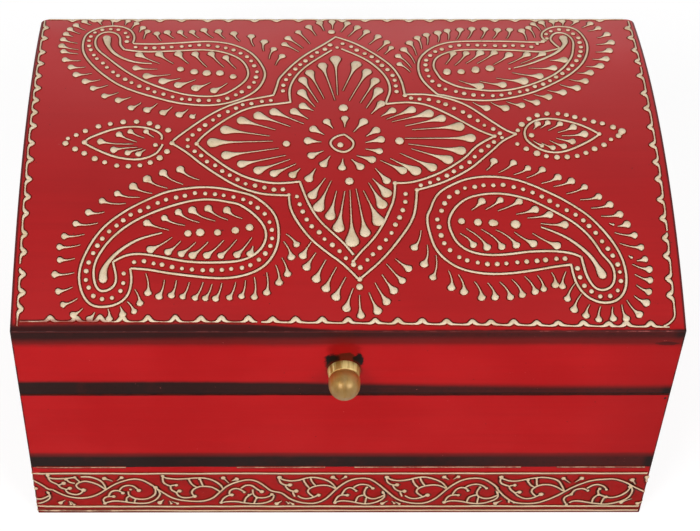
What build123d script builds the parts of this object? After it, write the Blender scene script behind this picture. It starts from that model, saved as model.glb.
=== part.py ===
from build123d import *
import os
from math import radians, sqrt, tan

# A hinged wooden storage box with a bowed lid: eight side boards, a bottom board
# and a bent top board, with two brass butt hinges and a turned brass knob.
# Millimetres. X runs left to right, Y front to back and Z up.
# The origin is the middle of the underside.

# Outer sizes
BOX_WIDTH = 190.0
BOX_DEPTH = 127.5
BODY_HEIGHT = 63.1
SEAM_GAP = 0.3  # between the body's rim and the lid's rim
LID_SIDE_HEIGHT = 29.5  # lid rim to the edge where the bowed top starts
CROWN_RISE = 10.35  # from that edge to the crown of the bow
EDGE_ROUND = 0.4  # outer edges
RIM_ROUND = 0.2  # outer edges on both sides of the seam
BACK_CORNER_ROUND = 2.5  # upright edges at the back

# Boards
SIDE_BOARD = 8.0
TOP_BOARD = 5.0
BOTTOM_BOARD = 5.0
GLUE_LINE = 0.05  # between the bent top board and the frame under it

# Lid travel: the bevelled back edges of lid and body meet just past this angle
LID_OPENING = 102.0
STOP_MARGIN = 1.0
PIN_INSET = 1.0  # hinge pin axis to the back face

# Brass butt hinges, let into the seam
HINGE_FROM_END = 38.0  # end of the box to the middle of a hinge
HINGE_LENGTH = 20.0
LEAF_WIDTH = 5.6  # pin axis to the leaf's free edge
LEAF_THICKNESS = 0.8
BARREL_RADIUS = 1.6
PIN_RADIUS = 0.7
PIN_CLEARANCE = 0.05
KNUCKLES = 3
KNUCKLE_GAP = 0.15
BARREL_CLEARANCE = 0.2
MORTISE_CLEARANCE = 0.1

# Countersunk hinge screws
SCREW_SPACING = 12.0
SCREW_LENGTH = 7.0
SCREW_RADIUS = 0.8
SCREW_HEAD_RADIUS = 1.3
SCREW_HEAD_DEPTH = 0.6
SCREW_TIP = 1.6
SLOT_WIDTH = 0.4
SLOT_DEPTH = 0.3
FASTENER_CLEARANCE = 0.05

# Turned brass knob: a tapered collar, a neck and a domed head
KNOB_HEIGHT = 11.5  # lid rim to the knob's axis
KNOB_OFF_CENTRE = -0.7  # the hole in the photo is drilled a little to the left
COLLAR_RADIUS = 4.75  # at the lid's face
COLLAR_FRONT_RADIUS = 4.35
COLLAR_LENGTH = 2.8
COLLAR_CHAMFER = 0.2
NECK_RADIUS = 3.6
NECK_LENGTH = 0.5
HEAD_RADIUS = 4.55
HEAD_CHAMFER = 0.3
HEAD_STRAIGHT = 2.05  # neck to the start of the dome

# Machine screw that holds the knob from inside
KNOB_SCREW_RADIUS = 1.5
KNOB_SCREW_GRIP = 5.0  # length of the screw inside the knob
KNOB_BORE_SPARE = 0.5  # bore depth past the screw's end
KNOB_HOLE_CLEARANCE = 0.15
PAN_HEAD_RADIUS = 2.9
PAN_HEAD_HEIGHT = 1.7
PAN_HEAD_ROUND = 0.5
PAN_SLOT_WIDTH = 0.8
PAN_SLOT_DEPTH = 0.8

# Brads, set below the face, filled and painted over
BRAD_RADIUS = 0.6
BRAD_HEAD_RADIUS = 0.9
BRAD_HEAD = 0.5
BRAD_TIP = 1.5
FILLER_DEPTH = 0.8
CORNER_BRAD_LENGTH = 18.0
BOARD_BRAD_LENGTH = 14.0
BODY_BRADS = 2  # at each corner of the body
BODY_BRAD_INSET = 12.0  # from the underside and from the rim
LID_BRAD_HEIGHT = 12.0  # lid rim to the one brad at each corner of the lid
RAIL_BRADS = 4  # through the top board into each rail
RAIL_BRAD_INSET = 20.0  # from the ends of the box
END_BRADS = 2  # through the top board into each end of the lid
END_BRAD_INSET = 40.0  # from the front and back faces
BOTTOM_BRADS = 3  # into each long edge of the bottom board
BOTTOM_BRAD_INSET = 35.0  # from the ends of the box

# Worked out from the sizes above
LID_BASE = BODY_HEIGHT + SEAM_GAP
LID_EDGE = LID_BASE + LID_SIDE_HEIGHT
HALF_DEPTH = BOX_DEPTH / 2
HALF_WIDTH = BOX_WIDTH / 2
BOW_RADIUS = (HALF_DEPTH**2 + CROWN_RISE**2) / (2 * CROWN_RISE)
BOW_CENTRE = LID_EDGE + CROWN_RISE - BOW_RADIUS
PIN_Y = HALF_DEPTH - PIN_INSET
PIN_Z = BODY_HEIGHT + SEAM_GAP / 2
KNUCKLE_PITCH = HINGE_LENGTH / KNUCKLES
BODY_KNUCKLES = range(0, KNUCKLES, 2)
LID_KNUCKLES = range(1, KNUCKLES, 2)
SCREW_FROM_PIN = (BARREL_RADIUS + BARREL_CLEARANCE + LEAF_WIDTH) / 2
BEVEL_DROP = PIN_INSET * tan(radians((LID_OPENING + STOP_MARGIN) / 2))
KNOB_Z = LID_BASE + KNOB_HEIGHT
BOTH_SIDES = (-1, 1)

# Where each board lies, as its lowest and highest value on one axis
FULL_WIDTH = (-HALF_WIDTH, HALF_WIDTH)
BODY_LEVELS = (0, BODY_HEIGHT)
LID_LEVELS = (LID_BASE, LID_EDGE + CROWN_RISE)
FRONT = (-HALF_DEPTH, -HALF_DEPTH + SIDE_BOARD)
BACK = (HALF_DEPTH - SIDE_BOARD, HALF_DEPTH)
LEFT = (-HALF_WIDTH, -HALF_WIDTH + SIDE_BOARD)
RIGHT = (HALF_WIDTH - SIDE_BOARD, HALF_WIDTH)
BETWEEN_ENDS = (LEFT[1], RIGHT[0])
BETWEEN_LONG_BOARDS = (FRONT[1], BACK[0])


def block(x_range, y_range, z_range):
    """A box between two values on each axis."""
    sizes = [high - low for low, high in (x_range, y_range, z_range)]
    middle = [(high + low) / 2 for low, high in (x_range, y_range, z_range)]
    return Pos(*middle) * Box(*sizes)


def turned(outline):
    """A solid turned about Z from a closed outline of (radius, height)."""
    return revolve(Plane.XZ * make_face(outline.edges()), Axis.Z)


def evenly(count, low, high):
    """Evenly spaced places from low to high, with one at each end."""
    return [low + (high - low) * index / (count - 1) for index in range(count)]


def drilled(solid, places, cutter):
    """The solid with one hole at each place."""
    for place in places:
        solid -= place * cutter
    return solid


def group(places, piece):
    """Like pieces as separate solids of one node."""
    return Compound(children=[place * piece for place in places])


# The box's outer form, sanded before it is cut into boards


def sanded(solid, top_round, bottom_round):
    """A block with its upright edges rounded, then the edges of its top and underside."""
    for behind, radius in ((True, BACK_CORNER_ROUND), (False, EDGE_ROUND)):
        upright = solid.edges().filter_by(Axis.Z)
        solid = fillet([edge for edge in upright if (edge.center().Y > 0) == behind], radius)
    solid = fillet(solid.faces().sort_by(Axis.Z)[-1].edges(), top_round)
    return fillet(solid.faces().sort_by(Axis.Z)[0].edges(), bottom_round)


def body_form():
    solid = block(FULL_WIDTH, (-HALF_DEPTH, HALF_DEPTH), BODY_LEVELS)
    return sanded(solid, RIM_ROUND, EDGE_ROUND)


def lid_form():
    sides = Polyline(
        (-HALF_DEPTH, LID_EDGE),
        (-HALF_DEPTH, LID_BASE),
        (HALF_DEPTH, LID_BASE),
        (HALF_DEPTH, LID_EDGE),
    )
    bow = ThreePointArc(
        (HALF_DEPTH, LID_EDGE), (0, LID_EDGE + CROWN_RISE), (-HALF_DEPTH, LID_EDGE)
    )
    face = Plane.YZ * make_face([*sides.edges(), *bow.edges()])
    return sanded(extrude(face, amount=HALF_WIDTH, both=True), EDGE_ROUND, RIM_ROUND)


def bow_cylinder(radius):
    """A cylinder on the same axis as the bowed top."""
    return Pos(0, 0, BOW_CENTRE) * Rot(0, 90, 0) * Cylinder(radius, 2 * BOX_WIDTH)


def bow_height(y):
    """Height of the bowed top's outer face."""
    return BOW_CENTRE + sqrt(BOW_RADIUS**2 - y**2)


# Fasteners, each with its head's face at the origin and its length down -Z


def brad(length, spare=0.0):
    head = BRAD_HEAD_RADIUS + spare
    shank = BRAD_RADIUS + spare
    outline = Polyline(
        (0, spare),
        (head, spare),
        (head, -BRAD_HEAD - spare),
        (shank, -BRAD_HEAD - spare),
        (shank, BRAD_TIP - length),
        (0, -length - spare),
        close=True,
    )
    return turned(outline)


def screw_blank(spare=0.0):
    head = SCREW_HEAD_RADIUS + spare
    shank = SCREW_RADIUS + spare
    outline = Polyline(
        (0, 0),
        (head, 0),
        (shank, -SCREW_HEAD_DEPTH),
        (shank, SCREW_TIP - SCREW_LENGTH),
        (0, -SCREW_LENGTH - spare),
        close=True,
    )
    return turned(outline)


def hinge_screw():
    return screw_blank() - Box(2 * SCREW_HEAD_RADIUS, SLOT_WIDTH, 2 * SLOT_DEPTH)


def knob_screw():
    above = (Align.CENTER, Align.CENTER, Align.MIN)
    below = (Align.CENTER, Align.CENTER, Align.MAX)
    head = Cylinder(PAN_HEAD_RADIUS, PAN_HEAD_HEIGHT, align=above)
    head = fillet(head.edges().sort_by(Axis.Z)[-1], PAN_HEAD_ROUND)
    shank = Cylinder(KNOB_SCREW_RADIUS, SIDE_BOARD + KNOB_SCREW_GRIP, align=below)
    slot = Box(2 * PAN_HEAD_RADIUS, PAN_SLOT_WIDTH, 2 * PAN_SLOT_DEPTH)
    return head + shank - Pos(0, 0, PAN_HEAD_HEIGHT) * slot


# Where the fasteners go


def facing_in(x, side, z, depth):
    """A place below the front (-1) or back (1) face, with -Z turned to run inwards."""
    return Pos(x, side * (HALF_DEPTH - depth), z) * Rot(-90 * side, 0, 0)


def corner_brads(heights):
    corner_x = HALF_WIDTH - SIDE_BOARD / 2
    return [
        facing_in(end * corner_x, side, z, FILLER_DEPTH)
        for end in BOTH_SIDES
        for side in BOTH_SIDES
        for z in heights
    ]


def bottom_brads():
    reach = HALF_WIDTH - BOTTOM_BRAD_INSET
    return [
        facing_in(x, side, BOTTOM_BOARD / 2, FILLER_DEPTH)
        for x in evenly(BOTTOM_BRADS, -reach, reach)
        for side in BOTH_SIDES
    ]


def top_board_brads():
    rail_reach = HALF_WIDTH - RAIL_BRAD_INSET
    end_reach = HALF_DEPTH - END_BRAD_INSET
    middle = SIDE_BOARD / 2
    spots = [
        (x, side * (HALF_DEPTH - middle))
        for x in evenly(RAIL_BRADS, -rail_reach, rail_reach)
        for side in BOTH_SIDES
    ]
    spots += [
        (end * (HALF_WIDTH - middle), y)
        for y in evenly(END_BRADS, -end_reach, end_reach)
        for end in BOTH_SIDES
    ]
    return [Pos(x, y, bow_height(y) - FILLER_DEPTH) for x, y in spots]


def leaf_screws(above):
    """Screws of one leaf, from the middle of the pin, into the lid if above, else the body."""
    turn = Rot(180, 0, 0) if above else Rot(0, 0, 0)
    face = SEAM_GAP / 2 if above else -SEAM_GAP / 2
    reach = SCREW_SPACING / 2
    return [Pos(side * reach, -SCREW_FROM_PIN, face) * turn for side in BOTH_SIDES]


BODY_CORNER_PLACES = corner_brads(
    evenly(BODY_BRADS, BODY_BRAD_INSET, BODY_HEIGHT - BODY_BRAD_INSET)
)
LID_CORNER_PLACES = corner_brads([LID_BASE + LID_BRAD_HEIGHT])
BOTTOM_PLACES = bottom_brads()
TOP_BOARD_PLACES = top_board_brads()
KNOB_PLACE = facing_in(KNOB_OFF_CENTRE, -1, KNOB_Z, 0)
KNOB_SCREW_PLACE = facing_in(KNOB_OFF_CENTRE, -1, KNOB_Z, SIDE_BOARD) * Rot(180, 0, 0)
HINGE_X = HALF_WIDTH - HINGE_FROM_END
HINGE_PLACES = {
    "left_hinge": Pos(-HINGE_X, PIN_Y, PIN_Z),
    "right_hinge": Pos(HINGE_X, PIN_Y, PIN_Z),
}


# Hinges, about the middle of the pin, with each leaf reaching towards -Y


def knuckle_middle(index):
    return (index + 0.5) * KNUCKLE_PITCH - HINGE_LENGTH / 2


def hinge_leaf(above):
    """The lid's leaf if above, else the body's."""
    near = SEAM_GAP / 2
    far = near + LEAF_THICKNESS
    heights = (near, far) if above else (-far, -near)
    own, other = (LID_KNUCKLES, BODY_KNUCKLES) if above else (BODY_KNUCKLES, LID_KNUCKLES)
    along_pin = Rot(0, 90, 0)
    leaf = block((-HINGE_LENGTH / 2, HINGE_LENGTH / 2), (-LEAF_WIDTH, 0), heights)
    for index in other:
        room = Cylinder(BARREL_RADIUS + BARREL_CLEARANCE, KNUCKLE_PITCH + KNUCKLE_GAP)
        leaf -= Pos(knuckle_middle(index), 0, 0) * along_pin * room
    for index in own:
        barrel = Cylinder(BARREL_RADIUS, KNUCKLE_PITCH - KNUCKLE_GAP)
        leaf += Pos(knuckle_middle(index), 0, 0) * along_pin * barrel
    leaf -= along_pin * Cylinder(PIN_RADIUS + PIN_CLEARANCE, 2 * HINGE_LENGTH)
    return drilled(leaf, leaf_screws(above), screw_blank(FASTENER_CLEARANCE))


def hinge_pin():
    return Rot(0, 90, 0) * Cylinder(PIN_RADIUS, HINGE_LENGTH)


def hinge_mortise(above):
    """What a back board loses to one hinge: the leaf's seat, the barrel's room, pilot holes."""
    depth = SEAM_GAP / 2 + LEAF_THICKNESS + MORTISE_CLEARANCE
    reach = HINGE_LENGTH / 2 + MORTISE_CLEARANCE
    heights = (0, depth) if above else (-depth, 0)
    seat = block((-reach, reach), (-LEAF_WIDTH - MORTISE_CLEARANCE, 0), heights)
    cutter = seat + Rot(0, 90, 0) * Cylinder(BARREL_RADIUS + BARREL_CLEARANCE, 2 * reach)
    for place in leaf_screws(above):
        cutter += place * screw_blank(FASTENER_CLEARANCE)
    return cutter


def stop_bevel(above):
    """The prism a back board loses along the seam, so that the lid stops fully open."""
    rim = SEAM_GAP / 2 if above else -SEAM_GAP / 2
    edge = rim + BEVEL_DROP if above else rim - BEVEL_DROP
    corner = Polyline((0, rim), (PIN_INSET, edge), (PIN_INSET, rim), close=True)
    face = Plane.YZ * make_face(corner.edges())
    return Pos(0, PIN_Y, PIN_Z) * extrude(face, amount=BOX_WIDTH, both=True)


def hinged(board, above):
    return drilled(board - stop_bevel(above), HINGE_PLACES.values(), hinge_mortise(above))


# Boards


def body_board(x_range, y_range, z_range=BODY_LEVELS):
    board = body_form() & block(x_range, y_range, z_range)
    board = drilled(board, BODY_CORNER_PLACES, brad(CORNER_BRAD_LENGTH, FASTENER_CLEARANCE))
    return drilled(board, BOTTOM_PLACES, brad(BOARD_BRAD_LENGTH, FASTENER_CLEARANCE))


def bored_lid(solid):
    """A piece of the lid with its brad holes."""
    solid = drilled(solid, LID_CORNER_PLACES, brad(CORNER_BRAD_LENGTH, FASTENER_CLEARANCE))
    return drilled(solid, TOP_BOARD_PLACES, brad(BOARD_BRAD_LENGTH, FASTENER_CLEARANCE))


def lid_board(x_range, y_range):
    under_top = bow_cylinder(BOW_RADIUS - TOP_BOARD - GLUE_LINE)
    return bored_lid(lid_form() & block(x_range, y_range, LID_LEVELS) & under_top)


def lid_front_rail():
    hole = Cylinder(KNOB_SCREW_RADIUS + KNOB_HOLE_CLEARANCE, 4 * SIDE_BOARD)
    return lid_board(FULL_WIDTH, FRONT) - KNOB_PLACE * hole


def lid_top_board():
    return bored_lid(lid_form() - bow_cylinder(BOW_RADIUS - TOP_BOARD))


# Knob, on the front face with its length up +Z before it is placed


def knob():
    neck_end = COLLAR_LENGTH + NECK_LENGTH
    dome = neck_end + HEAD_STRAIGHT
    outline = Polyline(
        (0, dome + HEAD_RADIUS),
        (0, 0),
        (COLLAR_RADIUS - COLLAR_CHAMFER, 0),
        (COLLAR_RADIUS, COLLAR_CHAMFER),
        (COLLAR_FRONT_RADIUS, COLLAR_LENGTH - COLLAR_CHAMFER),
        (COLLAR_FRONT_RADIUS - COLLAR_CHAMFER, COLLAR_LENGTH),
        (NECK_RADIUS, COLLAR_LENGTH),
        (NECK_RADIUS, neck_end),
        (HEAD_RADIUS - HEAD_CHAMFER, neck_end),
        (HEAD_RADIUS, neck_end + HEAD_CHAMFER),
        (HEAD_RADIUS, dome),
    )
    solid = turned(outline + CenterArc((0, dome), HEAD_RADIUS, 0, 90))
    depth = KNOB_SCREW_GRIP + KNOB_BORE_SPARE
    return solid - Cylinder(KNOB_SCREW_RADIUS + FASTENER_CLEARANCE, 2 * depth)


def build():
    nodes = {
        "body_front_board": body_board(FULL_WIDTH, FRONT),
        "body_back_board": hinged(body_board(FULL_WIDTH, BACK), above=False),
        "body_left_end": body_board(LEFT, BETWEEN_LONG_BOARDS),
        "body_right_end": body_board(RIGHT, BETWEEN_LONG_BOARDS),
        "bottom_board": body_board(BETWEEN_ENDS, BETWEEN_LONG_BOARDS, (0, BOTTOM_BOARD)),
        "lid_front_rail": lid_front_rail(),
        "lid_back_rail": hinged(lid_board(FULL_WIDTH, BACK), above=True),
        "lid_left_end": lid_board(LEFT, BETWEEN_LONG_BOARDS),
        "lid_right_end": lid_board(RIGHT, BETWEEN_LONG_BOARDS),
        "lid_top_board": lid_top_board(),
        "knob": KNOB_PLACE * knob(),
        "knob_screw": KNOB_SCREW_PLACE * knob_screw(),
        "body_corner_brads": group(BODY_CORNER_PLACES, brad(CORNER_BRAD_LENGTH)),
        "lid_corner_brads": group(LID_CORNER_PLACES, brad(CORNER_BRAD_LENGTH)),
        "bottom_board_brads": group(BOTTOM_PLACES, brad(BOARD_BRAD_LENGTH)),
        "top_board_brads": group(TOP_BOARD_PLACES, brad(BOARD_BRAD_LENGTH)),
    }
    for name, place in HINGE_PLACES.items():
        nodes[f"{name}_body_leaf"] = place * hinge_leaf(above=False)
        nodes[f"{name}_lid_leaf"] = place * hinge_leaf(above=True)
        nodes[f"{name}_pin"] = place * hinge_pin()
    for part, above in (("body", False), ("lid", True)):
        places = [hinge * screw for hinge in HINGE_PLACES.values() for screw in leaf_screws(above)]
        nodes[f"hinge_screws_{part}"] = group(places, hinge_screw())
    return nodes


def main():
    os.makedirs("parts", exist_ok=True)
    for name, shape in build().items():
        export_step(shape, f"parts/{name}.step")
    print("bow radius", round(BOW_RADIUS, 2), "mm, height", round(LID_LEVELS[1], 2), "mm")


main()
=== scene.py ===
"""A painted keepsake box with a bowed lid, raised cream ornament and a turned brass knob."""

import math
import random

import bmesh
import bpy
from bpy.props import FloatProperty, FloatVectorProperty, IntProperty, PointerProperty
from bpy.types import Operator, Panel, PropertyGroup
from mathutils import Matrix, Vector


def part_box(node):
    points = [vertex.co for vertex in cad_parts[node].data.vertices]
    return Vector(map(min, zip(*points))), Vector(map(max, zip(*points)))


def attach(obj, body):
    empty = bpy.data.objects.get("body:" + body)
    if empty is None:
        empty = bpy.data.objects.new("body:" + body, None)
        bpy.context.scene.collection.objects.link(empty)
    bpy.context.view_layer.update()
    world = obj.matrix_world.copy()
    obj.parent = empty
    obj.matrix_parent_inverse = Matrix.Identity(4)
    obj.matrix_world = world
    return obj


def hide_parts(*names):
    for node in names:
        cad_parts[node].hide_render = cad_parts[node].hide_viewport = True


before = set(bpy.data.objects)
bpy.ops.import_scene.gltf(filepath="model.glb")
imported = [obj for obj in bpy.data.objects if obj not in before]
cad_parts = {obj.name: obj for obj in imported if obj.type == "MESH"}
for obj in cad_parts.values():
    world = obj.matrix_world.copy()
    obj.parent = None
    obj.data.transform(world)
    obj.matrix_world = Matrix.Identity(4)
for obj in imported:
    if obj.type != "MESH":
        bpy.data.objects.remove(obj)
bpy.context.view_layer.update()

bl_info = {
    "name": "Painted keepsake box",
    "version": (1, 0, 0),
    "blender": (4, 5, 0),
    "location": "View3D > Sidebar > Keepsake Box",
    "description": "Paints the boards of a bowed-lid box and lays its raised cream ornament",
    "category": "Object",
}

MM = 0.001

# The box as the frame holds it, in millimetres
TOP_LOW, TOP_HIGH = (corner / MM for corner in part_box("lid_top_board"))
RAIL_LOW, RAIL_HIGH = (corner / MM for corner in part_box("lid_front_rail"))
BODY_LOW, BODY_HIGH = (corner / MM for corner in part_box("body_front_board"))
KNOB_LOW, KNOB_HIGH = (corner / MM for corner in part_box("knob"))
HALF_WIDTH = TOP_HIGH.x
HALF_DEPTH = TOP_HIGH.y
BODY_TOP = BODY_HIGH.z
CROWN = TOP_HIGH.z
CROWN_RISE = 10.35
BOW_RADIUS = (HALF_DEPTH**2 + CROWN_RISE**2) / (2 * CROWN_RISE)
BOW_CENTRE = CROWN - BOW_RADIUS
FRONT_CORNER = 0.4
BACK_CORNER = 2.5
KNOB_X = (KNOB_LOW.x + KNOB_HIGH.x) / 2
KNOB_Z = (KNOB_LOW.z + KNOB_HIGH.z) / 2

# ---------------------------------------------------------------- the lid's ornament
# Places are (u, v) in millimetres on the flattened lid: u to the right and v to the back,
# from its middle. A drop is (tail u, tail v, head u, head v, head radius).

# Each side of a star petal runs from its corner to its tip
STAR_OUTER = (
    ((-20.7, 20.2), (-19.7, 24.1), (-19.2, 27.9), (-17.7, 30.6), (-14.6, 35.9), (-10.7, 41.3),
     (-5.5, 46.6), (-2.1, 50.6), (-1.0, 52.2)),
    ((19.2, 19.4), (18.9, 24.5), (18, 29.3), (16.1, 34.5), (13, 39), (8.9, 44), (5, 48.1),
     (1.2, 50.8), (-1.0, 52.2)),
    ((19.3, 20.4), (22.3, 20.5), (26.1, 20.4), (30.6, 19.2), (34.7, 17.4), (38.5, 14.7),
     (42.3, 10.6), (46.4, 6.4), (49.2, 3.8), (51.5, 2.8)),
    ((20.9, -18.9), (25.7, -17.4), (29.9, -15.5), (34, -13.1), (37.6, -10.5), (41.2, -6.7),
     (44.2, -3.6), (47.1, -0.1), (49.7, 1.6), (51.5, 2.8)),
    ((20.9, -18.9), (20.4, -25.4), (18.9, -30.2), (16.1, -34.7), (12.4, -39.9), (8.7, -44.1),
     (5.2, -47.3), (3.5, -48.9)),
    ((-16.4, -20.5), (-16.4, -23.9), (-15.3, -27.6), (-12.9, -32.1), (-9.8, -36.5),
     (-5.3, -40.6), (-2, -43.2), (1.2, -46.5), (3.4, -49.2)),
    ((-16.6, -20.8), (-22.3, -20.8), (-27.7, -19.3), (-32.7, -16.8), (-37.3, -13.3),
     (-42.3, -9), (-46.2, -4.8), (-49.3, -2.3), (-50.9, -1)),
    ((-20.7, 20.1), (-25, 18.8), (-29.5, 17.7), (-35, 14.8), (-39.2, 11.7), (-43.5, 7.7),
     (-47.7, 3.3), (-50.7, 0.2), (-50.9, -0.8)),
)
STAR_INNER = (
    ((-15.6, 16.7), (-16.1, 20.9), (-15.4, 25.6), (-13.4, 30.6), (-10.2, 35.4), (-5.5, 40.6),
     (-2.5, 43.8)),
    ((13.2, 15.9), (13.6, 18.1), (14.8, 21.6), (14.8, 25.2), (13.9, 29.1), (11.8, 33.4),
     (8.4, 38.2), (4.1, 42), (0.7, 44.6)),
    ((13.2, 15.9), (17.1, 16.6), (21.2, 16.7), (25.4, 15.7), (29.2, 13.3), (33.3, 10.2),
     (37.4, 6.8), (41.2, 3.7), (45, 1.9)),
    ((14.6, -16.3), (17.1, -16.5), (21.2, -15.7), (26.1, -13.6), (30.2, -11.2), (34, -8.2),
     (36.4, -6), (38.8, -2.6), (42.3, 0.2), (45, 1.9)),
    ((14.6, -16.3), (14.5, -21.3), (12.4, -26.9), (10.2, -32), (7.3, -36.5), (3.2, -41),
     (1.7, -43.4)),
    ((-13.2, -15.8), (-12, -20.2), (-10.1, -25.4), (-7.6, -29.9), (-3.9, -33.9), (-0.1, -38),
     (1.9, -41.1)),
    ((-13.2, -15.8), (-16.7, -16.3), (-20.7, -16.5), (-25, -15.7), (-29.5, -14),
     (-34.3, -10.8), (-38.3, -7), (-41.7, -3.7), (-43.7, -1.2)),
    ((-15.6, 16.8), (-19.3, 16), (-24.3, 15.3), (-29.3, 13.7), (-33.7, 10.3), (-37.3, 7),
     (-41, 3), (-43, 0.3), (-43.7, -1.2)),
)
STAR_DROPS = (
    (-8.7, 12.9, -11.8, 14.9, 1.2), (-8.2, 14.5, -12.1, 21.2, 1.3), (-7.3, 16.7, -11.7, 27.4, 1.3),
    (-5.4, 18.4, -9.5, 31.1, 1.3), (-2.1, 17.7, -5.5, 34.9, 1.4), (-1.3, 20.1, -1.4, 38.5, 1.6),
    (0.4, 22.2, 4.9, 35.6, 1.6), (2.2, 17.5, 8.1, 31.6, 1.4), (5.5, 16.4, 10.4, 27, 1.4),
    (7.2, 14, 11.2, 22.1, 1.4), (8.6, 11.4, 11.8, 16, 1.2), (11.6, 10.4, 15, 12.9, 1.2),
    (13.1, 9.1, 20.8, 13.2, 1.4), (14.7, 8, 25.8, 11.5, 1.5), (18.6, 6.2, 29.5, 9.4, 1.5),
    (20.6, 4.6, 34.5, 5.9, 1.6), (18.3, 1, 37.7, 1.1, 1.7), (19.2, -1.3, 34.5, -4, 1.5),
    (20, -3.2, 30.5, -7.5, 1.5), (16.6, -5, 25.7, -10.5, 1.5), (13.5, -7, 20.8, -11.8, 1.5),
    (10.7, -7.8, 17, -11.7, 1.3), (9, -10.8, 12.2, -15.5, 1.2), (8.1, -14.7, 12, -20, 1.4),
    (6.9, -16.2, 10.5, -24, 1.5), (5.3, -19.1, 9.3, -29.7, 1.6), (3.2, -18.4, 5.4, -33.7, 1.6),
    (1.4, -19, 1.6, -36.5, 1.8), (-0.1, -19.3, -2.2, -32, 1.6), (-2.5, -19.2, -4.5, -28, 1.5),
    (-4, -15.5, -7.8, -25, 1.5), (-5.7, -14.5, -9.6, -20.8, 1.4), (-8.5, -10.9, -10.5, -14.7, 1.3),
    (-13, -10.8, -15.2, -13.3, 1.2), (-14.2, -9.1, -20.7, -12.8, 1.3), (-16, -7.4, -25.3, -11.6, 1.5),
    (-17.2, -5.8, -30.2, -9.2, 1.4), (-19.3, -3, -34.7, -5.8, 1.5), (-21, -0.1, -38.7, -0.7, 1.8),
    (-22, 2, -35, 4.5, 1.6), (-20.2, 4.6, -30.2, 8.5, 1.6), (-15.8, 6, -25.2, 10.6, 1.5),
    (-11.7, 7.1, -20.5, 12.3, 1.4), (-10.3, 9.2, -14.5, 12.5, 1.2),
)
# Round the ring in the middle, fatter and shorter
ROSETTE_DROPS = (
    (-3, 5.2, -4.8, 8, 1.25), (0.5, 5.7, 0.6, 9.3, 1.2), (3.1, 3.7, 6.2, 8, 1.3),
    (6.7, 1.8, 9.8, 4.3, 1.25), (6.5, -0.7, 11, 0.5, 1.3), (6.4, -3.3, 10.4, -4.2, 1.2),
    (3.7, -5.9, 8.1, -7.5, 1.25), (2.1, -7.3, 4.6, -10.2, 1.2), (-0.4, -7.1, -0.7, -10.5, 1.3),
    (-4.1, -6, -6.1, -9.2, 1.3), (-6, -4, -9.6, -5.9, 1.3), (-6.6, -0.5, -10.4, 0, 1.3),
    (-5.7, 2.5, -8.8, 4.8, 1.25),
)
ROSETTE_RING = (
    (0.4, 2.5), (2.3, 0.8), (3.1, -0.9), (2.5, -3), (0.4, -4.7), (-1.9, -4.1), (-3.5, -2.5),
    (-4, -0.9), (-3.5, 0.6), (-1.7, 2.1), (0.2, 2.6),
)
ROSETTE_DOTS = (
    (-1, -1.7, 0.95), (0.3, 14.1, 1.4), (16.6, -0.1, 1.35), (1.3, -15.7, 1.4), (-17, -1.2, 1.3),
)
# Fans that stand off the front and back tips of the star
STAR_FANS = (
    (-12.7, 42.9, -17.1, 47.3, 1.05), (-11.4, 45, -16, 51.2, 1.1), (-9.2, 47.8, -12.7, 55.2, 1.1),
    (-7.1, 53, -9.3, 58.8, 1.1), (-4.5, 56.2, -5.8, 61.7, 1.1), (-1.8, 57.5, -1.8, 62.5, 1.1),
    (0.8, 55.5, 3, 61.3, 1.1), (3, 52.5, 6.1, 58.4, 1.1), (6, 50.2, 8.9, 55.5, 1.1),
    (9.4, 47.5, 12.4, 52.2, 1.1), (11.7, 43.3, 15, 48.6, 1.1), (14, 41.5, 16.2, 45.2, 1),
    (-10.1, -36.8, -12.5, -41.3, 1.1), (-8.8, -40.4, -11.5, -45, 1.15), (-6, -42.7, -8.8, -48.7, 1.2),
    (-3, -45, -6.1, -51.7, 1.2), (-0.4, -48.2, -3.3, -54.3, 1.2), (1.6, -51.7, -0.4, -57.8, 1.2),
    (3.3, -53.8, 3.6, -60, 1.2), (6, -53, 8.3, -58.6, 1.2), (7.8, -50, 10.9, -55.8, 1.2),
    (9.8, -47.4, 13, -52.4, 1.15), (11.2, -44, 15.5, -49.3, 1.15), (13.8, -42.4, 17.4, -45.5, 1.1),
)
STAR_BLOBS = (
    (-2.2, 55.3, 1), (3.4, -51.3, 1.1), (19.2, 19.9, 0.8), (51.2, 2.8, 0.7), (3.5, -48.9, 0.9),
    (-16.4, -20.6, 0.6), (-50.9, -1, 0.9), (45, 1.9, 0.65), (14.6, -16.4, 0.75), (-43.6, -1.2, 0.7),
    (20.9, -18.9, 0.65), (-0.7, 45.4, 0.55), (1.8, -43.2, 0.55),
)

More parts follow.
